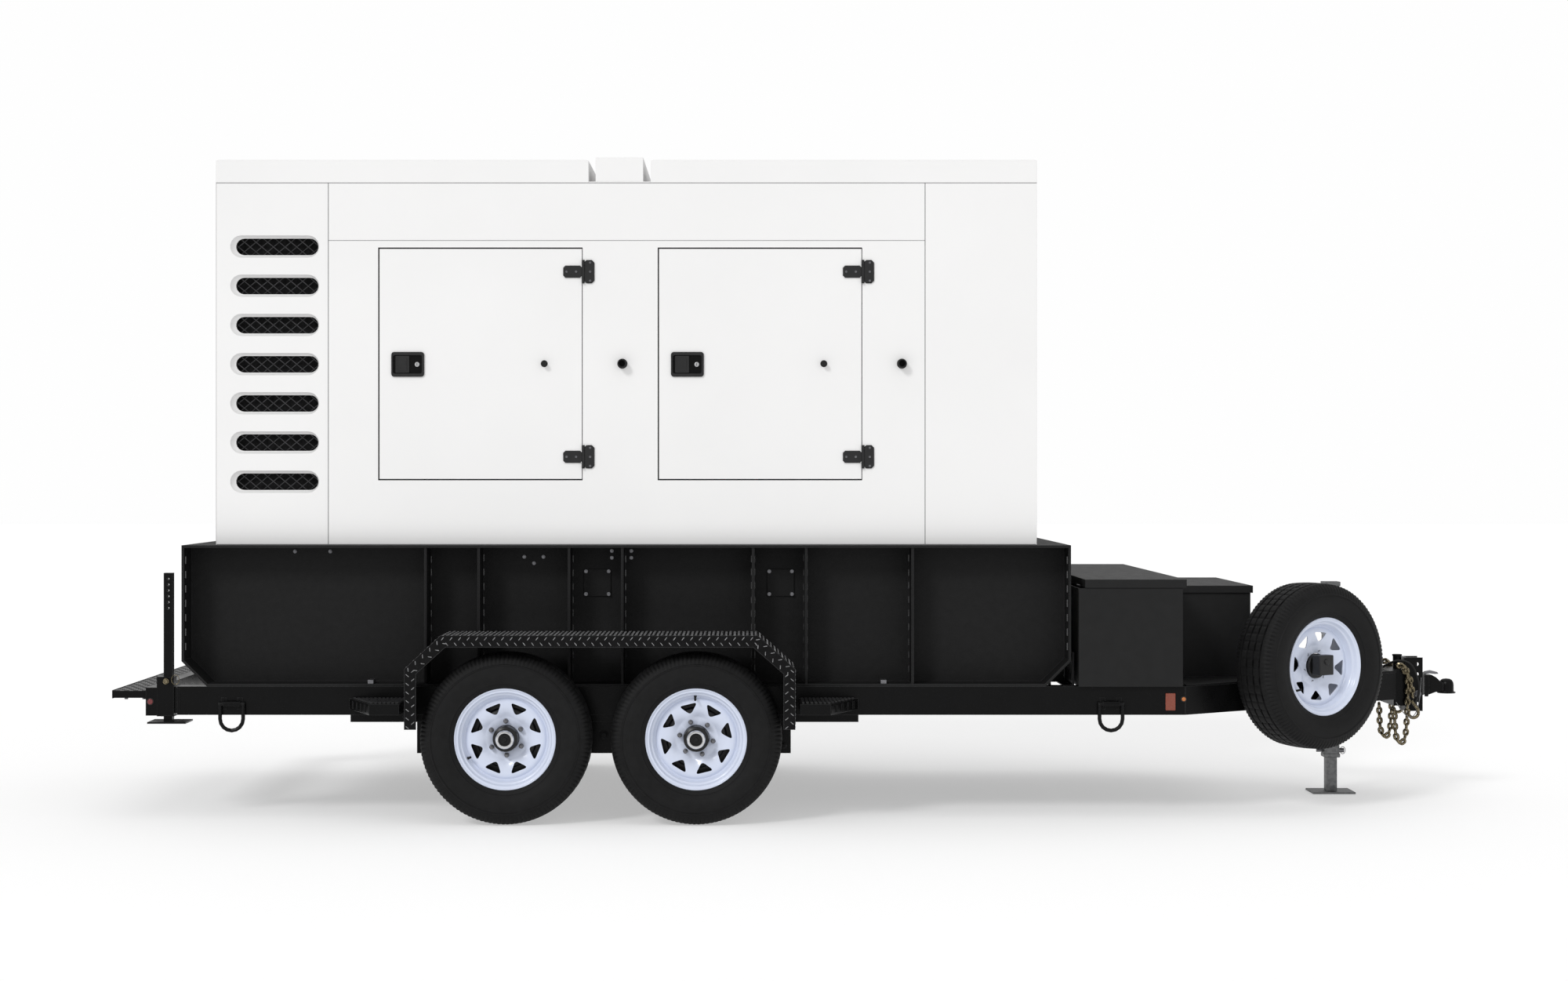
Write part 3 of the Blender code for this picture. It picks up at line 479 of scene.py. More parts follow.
WINDOWS = 8
WINDOW_TIP, WINDOW_WIDE, WINDOW_HALF, WINDOW_ROUND = 0.0985, 0.1485, math.radians(15.2), 0.0165
FIRST_WINDOW = 22.5               # degrees from the wheel's own X
FACE = [
    (LIP_R - 0.002, 0.0865), (LIP_R, 0.0895), (0.2055, 0.0915), (0.2025, 0.09), (0.2005, 0.0865),
    (0.1975, 0.085), (0.1925, 0.0845), (0.1905, 0.082), (0.1885, 0.072), (0.1855, 0.069), (0.18, 0.068),
    (0.177, 0.064), (0.1745, 0.045), (0.17, 0.04), (0.1665, 0.0398), (0.164, 0.042), (0.158, 0.0465),
    (0.145, 0.0485), (0.12, 0.0455), (0.1, 0.0385), (0.09, 0.0325), (0.083, 0.0305), (0.056, 0.0305),
    (0.0535, 0.029)]
BACK = [
    (0.0535, 0.026), (0.083, 0.0262), (0.09, 0.0285), (0.1, 0.0345), (0.12, 0.0415), (0.145, 0.0445),
    (0.158, 0.0425), (0.166, 0.036), (0.172, 0.034), (0.175, 0.01), (0.175, -0.05), (0.186, -0.07),
    (0.199, -0.084), (LIP_R - 0.004, -0.087), (LIP_R - 0.004, -0.084), (0.189, -0.068), (0.179, -0.048),
    (0.179, 0.042), (0.185, 0.065), (0.195, 0.08)]


def window_outline(bearing):
    """A rounded triangle, wide at its outer side, on the wheel's disc."""
    corners = [Vector((reach * math.cos(angle), reach * math.sin(angle))) for reach, angle in (
        (WINDOW_WIDE, bearing - WINDOW_HALF), (WINDOW_WIDE, bearing + WINDOW_HALF), (WINDOW_TIP, bearing))]
    outline = []
    for i, here in enumerate(corners):
        start = here + (corners[i - 1] - here).normalized() * WINDOW_ROUND
        end = here + (corners[(i + 1) % 3] - here).normalized() * WINDOW_ROUND
        for t in (0, 0.25, 0.5, 0.75, 1):
            outline.append(tuple(start * (1 - t) ** 2 + here * 2 * t * (1 - t) + end * t ** 2))
    return outline


def wheel_mesh():
    """A pressed steel wheel about Z with stepped lip, windows and a hub hole."""
    blank, tools = Shape().lathe(FACE + BACK, 120), Shape()
    for vertex in blank.bm.verts:
        reach = math.hypot(vertex.co.x, vertex.co.y)
        if 0.0 < vertex.co.z < 0.06 and reach < 0.155:
            swell = math.exp(-((reach - 0.088) / 0.020) ** 2)
            vertex.co.z += 0.0055 * swell * math.cos(6 * math.atan2(vertex.co.y, vertex.co.x))
    for number in range(WINDOWS):
        tools.plate(window_outline(math.radians(FIRST_WINDOW + 360 / WINDOWS * number)), 0.0, 0.08, "XY")
    wheel = add_object("wheel_blank", blank.mesh("wheel"))
    tool = add_object("windows", tools.mesh("windows"))
    cutter = wheel.modifiers.new("windows", "BOOLEAN")
    cutter.operation = "DIFFERENCE"
    cutter.object = tool
    bpy.context.view_layer.update()
    result = bpy.data.meshes.new_from_object(wheel.evaluated_get(bpy.context.evaluated_depsgraph_get()))
    bpy.data.objects.remove(wheel)
    bpy.data.objects.remove(tool)
    bm = bmesh.new()
    bm.from_mesh(result)
    bpy.data.meshes.remove(result)
    return bm


TYRE_MESH, WHEEL_MESH = tyre_mesh(), wheel_mesh()
NUTS, NUT_CIRCLE = 6, 0.0699
HUB_PARTS = (                     # name, look, steps, closed profile, profile
    ("brake_drum", "hub", 60, False, [
        (0, 0.0215), (0.118, 0.0215), (0.124, 0.017), (0.126, 0.01), (0.126, 0.004), (0.156, 0.002),
        (0.158, -0.002), (0.158, -0.058), (0, -0.058)]),
    ("hub_barrel", "hub", 48, False, [
        (0, 0.02), (0.0525, 0.02), (0.0525, 0.072), (0.0505, 0.08), (0.044, 0.084), (0.038, 0.086),
        (0, 0.086)]),
    ("hub_ring", "chrome", 48, True, [
        (0.038, 0.084), (0.038, 0.106), (0.0355, 0.1105), (0.03, 0.1115), (0.0265, 0.109), (0.0255, 0.104),
        (0.0255, 0.084)]),
    ("hub_plug", "hose", 40, False, [
        (0, 0.09), (0.026, 0.09), (0.026, 0.1045), (0.02, 0.1055), (0.0185, 0.103), (0.01, 0.103),
        (0.0085, 0.106), (0, 0.106)]),
)


def dress_wheel(label, body, outward, windows, nuts_at, valve_at, hub=True):
    """Tyre, wheel, nuts and hub of one wheel, placed with its face outward."""
    upright = facing(middle(f"{label}_tyre"), outward)
    place = spin(upright, windows - FIRST_WINDOW)
    for mesh, name, made_of, node in ((TYRE_MESH, "tyre_tread", "tyre_rubber", "tyre"),
                                      (WHEEL_MESH, "wheel_face", "wheel_white", "wheel")):
        Shape(mesh.copy()).piece(f"{label}_{name}", made_of, body, matrix=place,
                                 stands_for=(f"{label}_{node}",))
    nuts = Shape()
    for number in range(NUTS):
        x, y = (NUT_CIRCLE * turn(TAU * number / NUTS) for turn in (math.cos, math.sin))
        # Without a hub, dark pins through the disc stand for the empty stud holes: painted shade.
        if not hub:
            nuts.pin((x, y, 0.026), "Z", 0.0325, 0.0075, 18)
            continue
        nuts.rod((x, y, 0.029), (x, y, 0.040), 0.0108, 18, end_radius=0.0095)
        nuts.pin((x, y, 0.038), "Z", 0.052, 0.0086, 6).pin((x, y, 0.051), "Z", 0.058, 0.0056, 12)
    if hub:
        nuts.piece(f"{label}_lug_nuts", "lug", body, matrix=spin(upright, nuts_at), bevel=0.0008)
    else:
        nuts.piece(f"{label}_stud_hole_painted_shade", "seal_and_shade_black", body, matrix=spin(upright, nuts_at))
    base, tip = Vector((0.1765, 0.0, 0.050)), Vector((0.1600, 0.0, 0.080))
    stem = Shape().rod(base, base.lerp(tip, 0.6), 0.0065, 12, end_radius=0.0045)
    stem.rod(base.lerp(tip, 0.6), tip, 0.0048, 12)
    stem.piece(f"{label}_valve_stem", "hose", body, matrix=spin(upright, valve_at))
    for name, made_of, steps, closed, profile in HUB_PARTS if hub else ():
        Shape().lathe(profile, steps, closed=closed).piece(f"{label}_{name}", made_of, body, matrix=place)


BEARINGS = {"rear": (22.5, 31.7, 207.5), "front": (13.6, 50.0, 91.4)}   # windows, nuts and valve, in degrees
for side_name, side in SIDES.items():
    for end in ENDS:
        dress_wheel(f"{side_name}_{end}", f"{side_name}_{end}_wheel_assembly", (0, side, 0), *BEARINGS[end])

SPARE_TURN = math.radians(32.5)
SPARE_OUT = (math.sin(SPARE_TURN), -math.cos(SPARE_TURN), 0)
dress_wheel("spare", "chassis", SPARE_OUT, 40.0, 15.0, 215.0, hub=False)
lock = Shape().box((-0.040, 0.040), (-0.036, 0.048), (0.050, 0.098))
lock.box((-0.030, 0.030), (-0.026, 0.038), (0.030, 0.055))
lock.pin((0, 0, 0.016), "Z", 0.044, 0.052, 40).pin((0, 0.02, 0.095), "Z", 0.104, 0.013, 20)
lock.piece("spare_hub_lock", "black_plastic", matrix=facing(middle("spare_tyre"), SPARE_OUT), bevel=0.004)


# Enclosure --------------------------------------------------------------------------------
def stadium(x, z, height, steps=9):
    """Outline of a slot with round ends."""
    radius = height / 2
    outline = []
    for centre, start in ((x[1] - radius, -90), (x[0] + radius, 90)):
        for step in range(steps + 1):
            angle = math.radians(start + 180 * step / steps)
            outline.append((centre + radius * math.cos(angle), z + radius * math.sin(angle)))
    return outline


SLOT_X, SLOT_H, SLOT_TOP, SLOT_PITCH, SLOTS = (-2.436, -2.090), 0.0695, 2.390, 0.1646, 7
SLOT_Z = [SLOT_TOP - number * SLOT_PITCH for number in range(SLOTS - 1, -1, -1)]
RECESS = 0.0105                   # the pressed recess round a slot is this much larger
RECESS_DEPTH, NECK_LENGTH = 0.020, 0.004


def louvre_wall(side, name):
    """A side wall of the louvre section with pressed, funnel-shaped slots."""
    sheet = Shape()
    outer, inner = wall(side, 0), wall(side, -RECESS_DEPTH)
    x0, x1 = HOUSE_X0, SEAM_REAR - 0.0003
    cx = (x0 + x1) / 2
    band_edges = [HOUSE_Z0] + [z + SLOT_PITCH / 2 for z in SLOT_Z[:-1]] + [HOUSE_Z1]
    for z, z_low, z_high in zip(SLOT_Z, band_edges, band_edges[1:]):
        mouth = stadium((SLOT_X[0] - RECESS * 2, SLOT_X[1] + RECESS * 0.6), z, SLOT_H + RECESS * 2.2)
        neck = stadium(SLOT_X, z, SLOT_H)
        border = []
        for u, v in mouth:
            du, dv = u - cx, v - z
            reach = []
            if abs(du) > 1e-9:
                reach.append(((x1 if du > 0 else x0) - cx) / du)
            if abs(dv) > 1e-9:
                reach.append(((z_high if dv > 0 else z_low) - z) / dv)
            border.append((cx + du * min(reach), z + dv * min(reach)))
        for corner in ((x1, z_low), (x1, z_high), (x0, z_high), (x0, z_low)):
            best = min(range(len(border)), key=lambda i: (Vector(border[i]) - Vector(corner)).length)
            border[best] = corner
        soft = [(lerp(m[0], n[0], 0.38), lerp(m[1], n[1], 0.38)) for m, n in zip(mouth, neck)]
        levels = ((border, outer), (mouth, outer), (soft, lerp(outer, inner, 0.62)), (neck, inner),
                  (neck, inner - side * NECK_LENGTH))
        sheet.loft([[(u, y, v) for u, v in outline] for outline, y in levels])
    bmesh.ops.remove_doubles(sheet.bm, verts=sheet.bm.verts, dist=1e-5)
    made = sheet.piece(name, "housing_white", stands_for=("louvre_section",))
    flat = {face.index for face in made.data.polygons if abs(face.normal.y) > 0.9999}
    sides_of = {}
    for face in made.data.polygons:
        for key in face.edge_keys:
            sides_of.setdefault(key, []).append(face.index in flat)
    for edge in made.data.edges:
        touching = sides_of[edge.key]
        if any(touching) and not all(touching):
            edge.use_edge_sharp = True
    shell = made.modifiers.new("sheet", "SOLIDIFY")
    shell.thickness = 0.002
    shell.offset = -1
    made.modifiers.new("crease", "EDGE_SPLIT").split_angle = math.radians(40)


SCREEN_PITCH, SCREEN_WIRE = 0.049, 0.0021
z_low, z_high = SLOT_Z[0] - 0.06, SLOT_TOP + 0.06
x_low, x_high = SLOT_X[0] - 0.02, SLOT_X[1] + 0.02
lean = (z_high - z_low) / math.tan(math.radians(40))
for side_name, side in SIDES.items():
    louvre_wall(side, f"{side_name}_louvre_wall")
    screen = Shape()
    for way in (1, -1):
        y = wall(side, -0.031) - side * 0.002 * (way + 1)
        start = x_low - lean
        while start < x_high + lean:
            end = start + way * lean
            t0, t1 = sorted(((x_low - start) / (end - start), (x_high - start) / (end - start)))
            t0, t1 = max(0.0, t0), min(1.0, t1)
            if t1 - t0 > 0.01:
                ends = [(lerp(start, end, t), y, lerp(z_low, z_high, t)) for t in (t0, t1)]
                screen.rod(*ends, SCREEN_WIRE, 4)
            start += SCREEN_PITCH
    screen.piece(f"{side_name}_louvre_screen", "mesh_black", smooth=False)
    Shape().box((x_low - 0.02, x_high + 0.02), (wall(side, -0.075), wall(side, -0.062)),
                (z_low - 0.05, z_high + 0.05)).piece(f"{side_name}_louvre_baffle", "foam")
Shape().box((HOUSE_X0, HOUSE_X0 + 0.003), (-HOUSE_Y, HOUSE_Y), (HOUSE_Z0, HOUSE_Z1)).piece(
    "louvre_end_wall", "housing_white", bevel=0.001)

PROUD = 0.0004                    # the dark strips of painted shade along seams and door gaps stand this far off the sheet
roof_seam = (HOUSE_Z1 - 0.0012, HOUSE_Z1 + 0.0018)
# Dark strips along the enclosure's seams and roof edges: painted shade of the seam gaps.
seams = Shape()
for side in SIDES.values():
    y = (wall(side, -0.001), wall(side, PROUD))
    for x in (SEAM_REAR, SEAM_FRONT):
        seams.box(span(x, 0.0016), y, (HOUSE_Z0 + 0.002, HOUSE_Z1))
    seams.box((SEAM_REAR, SEAM_FRONT), y, (2.4142, 2.4165))
    seams.box((HOUSE_X0 + 0.001, HOUSE_X1 - 0.001), y, roof_seam)
    seams.box((HOUSE_X0 + 0.003, HOUSE_X1 - 0.003), y, (HOUSE_Z0, HOUSE_Z0 + 0.003))
for x, way in ((HOUSE_X0, -1), (HOUSE_X1, 1)):
    seams.box((x, x + way * PROUD), (-HOUSE_Y, HOUSE_Y), roof_seam)
seams.piece("housing_seams", "seam", smooth=False)

HINGE_OUT, KNUCKLE_OUT, KNUCKLE_R, LEAF_HALF, FRAME_HALF = 0.0055, 0.006, 0.0062, 0.0255, 0.049
HEAD_R, HEAD_OUT = 0.0048, 0.0012                                # small screws


def hinge(side, body, label, axis_x, z):
    """A black T-hinge: a leaf on the door, a leaf on the frame, and the knuckle between."""
    out, knuckle_y = wall(side, HINGE_OUT), wall(side, KNUCKLE_OUT)
    leaf = Shape().plate(chamfered((axis_x - 0.084, axis_x - 0.004), span(z, LEAF_HALF), 0.009),
                         wall(side, -0.0005), out)
    leaf.pin((axis_x, knuckle_y, z - LEAF_HALF), "Z", z + LEAF_HALF, KNUCKLE_R, 20)
    leaf.piece(f"{label}_door_hinge_leaf", "black_plastic", body, bevel=0.0008)
    screws = Shape()
    for x in (axis_x - 0.070, axis_x - 0.030):
        screws.pin((x, out, z), "Y", out + side * HEAD_OUT, HEAD_R)
    screws.piece(f"{label}_door_hinge_screws", "lug", body)
    under = wall(side, 0.0003)
    fixed = Shape().plate(chamfered((axis_x + 0.003, axis_x + 0.047), span(z, FRAME_HALF), 0.011), under, out)
    for low, high in ((-FRAME_HALF, -0.0262), (0.0262, FRAME_HALF)):
        fixed.pin((axis_x, knuckle_y, z + low), "Z", z + high, KNUCKLE_R, 20)
        fixed.box((axis_x, axis_x + 0.005), (under, out), (z + low, z + high))
    fixed.piece(f"{label}_frame_hinge_leaf", "black_plastic", bevel=0.0008)
    screws = Shape()
    for z_screw in (z - 0.038, z, z + 0.038):
        screws.pin((axis_x + 0.029, out, z_screw), "Y", out + side * HEAD_OUT, HEAD_R)
    screws.piece(f"{label}_frame_hinge_screws", "lug")


def latch(side, label, door_body, latch_body, x0, z):
    """Latch housing, its recess with a darker floor plate painted as the recess's shade, key cylinder and
    paddle.
    """
    x, half_z = (x0 + 0.050, x0 + 0.188), 0.052
    outline = rounded(x, span(z, half_z), 0.012)
    rim = rounded((x[0] + 0.002, x[1] - 0.002), span(z, half_z - 0.002), 0.010)
    pocket = rounded((x[0] + 0.007, x[1] - 0.009), span(z, half_z - 0.013), 0.008)
    housing = Shape()
    rings = housing.loft([[(u, wall(side, depth), v) for u, v in points] for points, depth in (
        (outline, 0.0001), (outline, 0.0065), (rim, 0.0085), (pocket, 0.0085), (pocket, 0.0012))])
    housing.bm.faces.new(rings[-1])
    housing.bm.faces.new(rings[0][::-1])
    housing.piece(f"{label}_latch_housing", "black_plastic", door_body)
    # A darker black plate on the pocket's floor: painted shade in the recess.
    floor = Shape().plate(pocket, wall(side, 0.0006), wall(side, 0.0016))
    floor.piece(f"{label}_latch_pocket_painted_shade", "frame_black", door_body)
    low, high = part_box(f"{label}_latch_paddle")
    handle = Shape()
    pads = ((low[0] + 0.0035, high[0], 0.036, 0.004, (0.0022, 0.0068)),
            (low[0] + 0.012, high[0] - 0.010, 0.028, 0.006, (0.0066, 0.0086)))
    for left, right, half, radius, depths in pads:
        handle.plate(rounded((left, right), span(z, half), radius), *(wall(side, depth) for depth in depths))
    handle.piece(f"{label}_paddle_plate", "black_plastic", latch_body, bevel=0.0015,
                 stands_for=(f"{label}_latch_paddle",))
    key, key_x = Shape(), x0 + 0.158
    for radius, y0, y1 in ((0.0100, 0.0008, 0.0040), (0.0075, 0.0035, 0.0055)):
        key.pin((key_x, wall(side, y0), z), "Y", wall(side, y1), radius, 28)
    key.piece(f"{label}_key_cylinder", "chrome", door_body, bevel=0.0005)
    # A dark sliver on the cylinder's face stands for the keyway: painted shade.
    slit = Shape().box(span(key_x, 0.001), (wall(side, 0.0054), wall(side, 0.0058)), span(z, 0.005))
    slit.piece(f"{label}_key_slit_painted_shade", "seal_and_shade_black", door_body)


HOLD_Z, LATCH_Z = 1.898, 1.895
HINGE_Z = {"low": 1.507, "high": 2.284}
DOOR_GAP, GAP_SHADE_WIDTH = 0.0026, 0.0030
SOCKET = [(0, 0), (0.021, 0), (0.021, 0.004), (0.0185, 0.006), (0.0185, 0.037), (0.0165, 0.04),
          (0.0135, 0.04), (0.013, 0.036), (0.013, 0.008), (0, 0.008)]
for side_name, side in SIDES.items():
    for end in ENDS:
        label = f"{side_name}_{end}"
        low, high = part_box(f"{label}_door")
        x0, x1, z0, z1 = low[0], high[0] - 0.0112, low[2], high[2]     # without the hinge leaves
        axis_x = x1 + 0.006
        body = f"{label}_door_leaf"
        for level, z in HINGE_Z.items():
            hinge(side, body, f"{label}_{level}", axis_x, z)
        latch(side, label, body, f"{label}_latch", x0, LATCH_Z)
        # Dark strips round the door opening, standing proud of the panel: painted shade that widens the door
        # gap.
        y = (wall(side, -0.022), wall(side, PROUD))
        reach = DOOR_GAP + GAP_SHADE_WIDTH
        seal_and_shade_black = Shape().box((x0 - reach, x0 - DOOR_GAP), y, (z0 - reach, z1 + reach))
        seal_and_shade_black.box((x0 - DOOR_GAP, x1 + DOOR_GAP), y, (z0 - reach, z0 - DOOR_GAP))
        seal_and_shade_black.box((x0 - DOOR_GAP, x1 + DOOR_GAP), y, (z1 + DOOR_GAP, z1 + reach))
        seal_and_shade_black.piece(f"{label}_dark_seal_and_gap_shade", "seal_and_shade_black", smooth=False)
        stud, stud_x = Shape(), x1 - 0.158
        for start, stop, radius in ((0, 0.003, 0.0145), (0, 0.020, 0.0085), (0.019, 0.027, 0.0112)):
            stud.pin((stud_x, wall(side, start), HOLD_Z), "Y", wall(side, stop), radius, 28)
        stud.piece(f"{label}_door_stud", "hose", body, bevel=0.001)
        matrix = Matrix.Translation((2 * axis_x - stud_x, wall(side, 0), HOLD_Z))
        matrix = matrix @ Matrix.Rotation(-side * math.pi / 2, 4, "X")
        Shape().lathe(SOCKET, 36, closed=False).piece(f"{label}_hold_back_socket", "hose", matrix=matrix)
        lining = Shape().box((x0 + 0.012, x1 - 0.012), (wall(side, -0.006), wall(side, -0.023)),
                             (z0 + 0.012, z1 - 0.012))
        lining.piece(f"{label}_door_lining", "foam", body, bevel=0.004)


# Fenders ----------------------------------------------------------------------------------
BAR_PITCH, BAR_HEIGHT = 0.0178, 0.0013


def tread_bars(shape, origin, along, across, length, width, out):
    """Raised diamond-plate bars over a flat rectangle, in rows that lean opposite ways."""
    origin, along, across, out = (Vector(v) for v in (origin, along, across, out))
    rows = max(2, round(width / (BAR_PITCH * 1.15)))
    columns = max(1, int(length / (BAR_PITCH * 1.95)))
    for row in range(rows):
        shift, tilt = (0.25, 1) if row % 2 else (0.75, -1)
        run = (along * 0.8 + across * tilt).normalized()
        side_way = run.cross(out)
        for column in range(columns):
            centre = (origin + along * (column + shift) * length / columns
                      + across * (row + 0.5) * width / rows)
            base = []
            for a, b in ((-1, 0), (-0.55, -1), (0.55, -1), (1, 0), (0.55, 1), (-0.55, 1)):
                base.append(centre + run * (BAR_PITCH * 0.52) * a + side_way * (BAR_PITCH * 0.10) * b)
            foot = [shape.bm.verts.new(p) for p in base]
            top = [shape.bm.verts.new(centre + (p - centre) * 0.55 + out * BAR_HEIGHT) for p in base]
            shape.bm.faces.new(top)
            shape.skin(foot, top)


LIP = 0.046                       # how far the fender's side turns down
FENDER_PATH = [(-1.677, 0.398), (-1.677, 0.644), (-1.530, 0.780), (-0.241, 0.780), (-0.090, 0.644),
               (-0.090, 0.398)]
for side_name, side in SIDES.items():
    reaches = sorted(abs(corner[1]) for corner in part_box(f"{side_name}_fender"))
    inner, outer = (side * reach for reach in reaches)
    bars = Shape()
    for (xa, za), (xb, zb) in zip(FENDER_PATH, FENDER_PATH[1:]):
        run = Vector((xb - xa, 0, zb - za))
        length = run.length
        run.normalize()
        up = Vector((-run.z, 0, run.x))
        tread_bars(bars, (xa, inner, za), run, (0, side, 0), length, abs(outer - inner), up)
        tread_bars(bars, Vector((xa, outer, za)) - up * LIP, run, up, length, LIP - 0.002, (0, side, 0))
    bars.piece(f"{side_name}_fender_tread_bars", "tread_bar", slot="tread_plate", smooth=False)


# Deck, steps and rails --------------------------------------------------------------------
DECK_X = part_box("rear_crossmember")[0][0]
DECK_LENGTH, DECK_HALF = 0.145, 0.86        # length from the rear edge to the crossmember's face
deck = Shape()
for row in range(7):
    x = DECK_X + 0.010 + row * 0.0190
    for column in range(row % 2, 42, 2):
        deck.box((x, x + 0.016), span(-0.84 + column * 0.041, 0.013), (0.529, 0.5318))
deck.box((DECK_X, DECK_X + 0.004), span(0, DECK_HALF), (0.498, 0.5325))
deck.piece("deck_grip_ribs", "grip_bar", slot="tread_plate", bevel=0.0008)
deck_bolts = Shape()
for y in (-0.78, -0.35, 0.35, 0.78):
    for x in (DECK_X + 0.040, DECK_X + 0.115):
        deck_bolts.bolt((x, y, 0.500), (0, 0, -1), 0.008, 0.012)
deck_bolts.piece("deck_bolts", "lug")

STEPS_X = ((-1.944, -1.70), (0.178, -0.07))      # a step's far and near end from the wheels
STEP_Y = 1.15
grips, edges = Shape(), Shape()
for side in SIDES.values():
    for far, near in STEPS_X:
        lean = 1 if near > far else -1
        for row in range(8):
            y = RAIL_Y + 0.020 + row * 0.032
            reach = (y - RAIL_Y) / (STEP_Y - RAIL_Y) * abs(near - far) / 2
            start, end = far + lean * (reach + 0.008), near - lean * 0.004
            teeth = int(abs(end - start) / 0.016)
            for tooth in range(teeth):
                x = start + (end - start) * (tooth + 0.5) / teeth
                grips.box(span(x, 0.005), span(side * y, 0.0015), (0.4995, 0.5055))
        for number in range(5):
            for t in ((number + 0.12) / 5, (number + 0.88) / 5):
                place = (lerp(far, (far + near) / 2, t), side * lerp(RAIL_Y + 0.004, STEP_Y, t), 0.462)
                edges.pin(place, "Z", 0.493, 0.0022, 8)
grips.piece("step_grip_teeth", "grip_bar", slot="tread_plate", smooth=False)
edges.piece("step_edge_ribs", "frame_black")

RINGS_X, HANGER_X, HANGERS_X = (-2.4325, 1.229), -0.884, (-1.635, -0.133)
fittings = Shape()
for side in SIDES.values():
    for x in RINGS_X:
        for dx in (-0.034, 0.034):
            fittings.box(span(x + dx, 0.012), (rail(side, 0.0005), rail(side, 0.0032)), (0.452, 0.504))
        fittings.pin((x - 0.036, rail(side, 0.012), 0.478), "X", x + 0.036, 0.0125, 20)
    fittings.box((RAIL_START + 0.0005, RAIL_START + 0.013), (rail(side, 0), rail(side, 0.003)),
                 (0.437, 0.545))
    fittings.bolt((HANGER_X, rail(side, -0.0145), 0.345), (0, side, 0), 0.014, 0.014)
    for x in HANGERS_X:
        fittings.bolt((x, rail(side, -0.0145), 0.302), (0, side, 0), 0.010, 0.012)
fittings.piece("rail_fittings", "frame_black", bevel=0.0015)

TANK_X1, RAIL_TOP = TANK_HIGH[0], 0.5465
closer = Shape().box((TANK_X1 + 0.006, TANK_X1 + 0.016), span(0, DECK_HALF), (RAIL_TOP, 0.690))
closer.box((TANK_X1 - 0.030, TANK_X1 + 0.010), span(0, DECK_HALF), (RAIL_TOP, 0.5530))
for side in SIDES.values():
    corner = TANK_X1 + 0.004
    closer.plate([(corner - 0.092, RAIL_TOP), (corner, RAIL_TOP), (corner, 0.640)],
                 side * 0.600, side * 0.608)
closer.piece("front_tank_cross_angle", "frame_black", bevel=0.0015)

springs = Shape()
for side in SIDES.values():
    for axle_x in (-1.274, -0.494):
        y0, y1 = sorted((side * 0.816, side * 0.864))
        for number in range(4):
            z = 0.326 + 0.0075 * number
            springs.box(span(axle_x, 0.325 - number * 0.065), (y0, y1), (z, z + 0.0062))
        for dx in (-0.035, 0.035):
            for y in (y0 - 0.006, y1 + 0.006):
                springs.pin((axle_x + dx, y, 0.285), "Z", 0.398, 0.006, 12)
        springs.box(span(axle_x, 0.055), (y0 - 0.012, y1 + 0.012), (0.284, 0.294))
springs.piece("leaf_packs", "frame_black", bevel=0.0008)

AMBER_X, RED_X = RAIL_END - 0.007, DECK_X + 0.165
LAMPS = (("rear_marker_lamps", "red_lens", RED_X, 0.4865, 0.0115),
         ("front_marker_lamps", "amber_lens", AMBER_X, 0.497, 0.0085))
for name, lens, x, z, radius in LAMPS:
    lamps = Shape()
    for side in SIDES.values():
        lamps.pin((x, rail(side, 0), z), "Y", rail(side, 0.008), radius, 28)
    lamps.piece(name, lens, bevel=0.002)
rims, plates = Shape(), Shape()
for side in SIDES.values():
    for x, z, radius in ((RED_X, 0.4865, 0.0150), (AMBER_X, 0.497, 0.0125)):
        rims.pin((x, rail(side, 0), z), "Y", rail(side, 0.004), radius, 28)
    plates.plate(rounded((AMBER_X - 0.0755, AMBER_X - 0.0345), (0.450, 0.5215), 0.003),
                 rail(side, 0), rail(side, 0.004))
rims.piece("marker_lamp_rims", "black_plastic", bevel=0.001)
plates.piece("side_reflectors", "orange_reflector", bevel=0.001)

tail, tail_frame = Shape(), Shape()
cross_x = DECK_X + DECK_LENGTH
for y in (-0.70, 0.70):
    tail.plate(rounded(span(y, 0.07), (0.443, 0.488), 0.020), cross_x - 0.008, cross_x, "YZ")
    tail_frame.plate(rounded(span(y, 0.080), (0.434, 0.496), 0.026), cross_x - 0.005, cross_x + 0.001, "YZ")
tail.piece("tail_lamps", "red_lens", bevel=0.003)
tail_frame.plate(rounded(span(0, 0.155), (0.432, 0.494), 0.006), cross_x - 0.004, cross_x + 0.001, "YZ")
tail_frame.piece("tail_lamp_frames", "black_plastic", bevel=0.001)


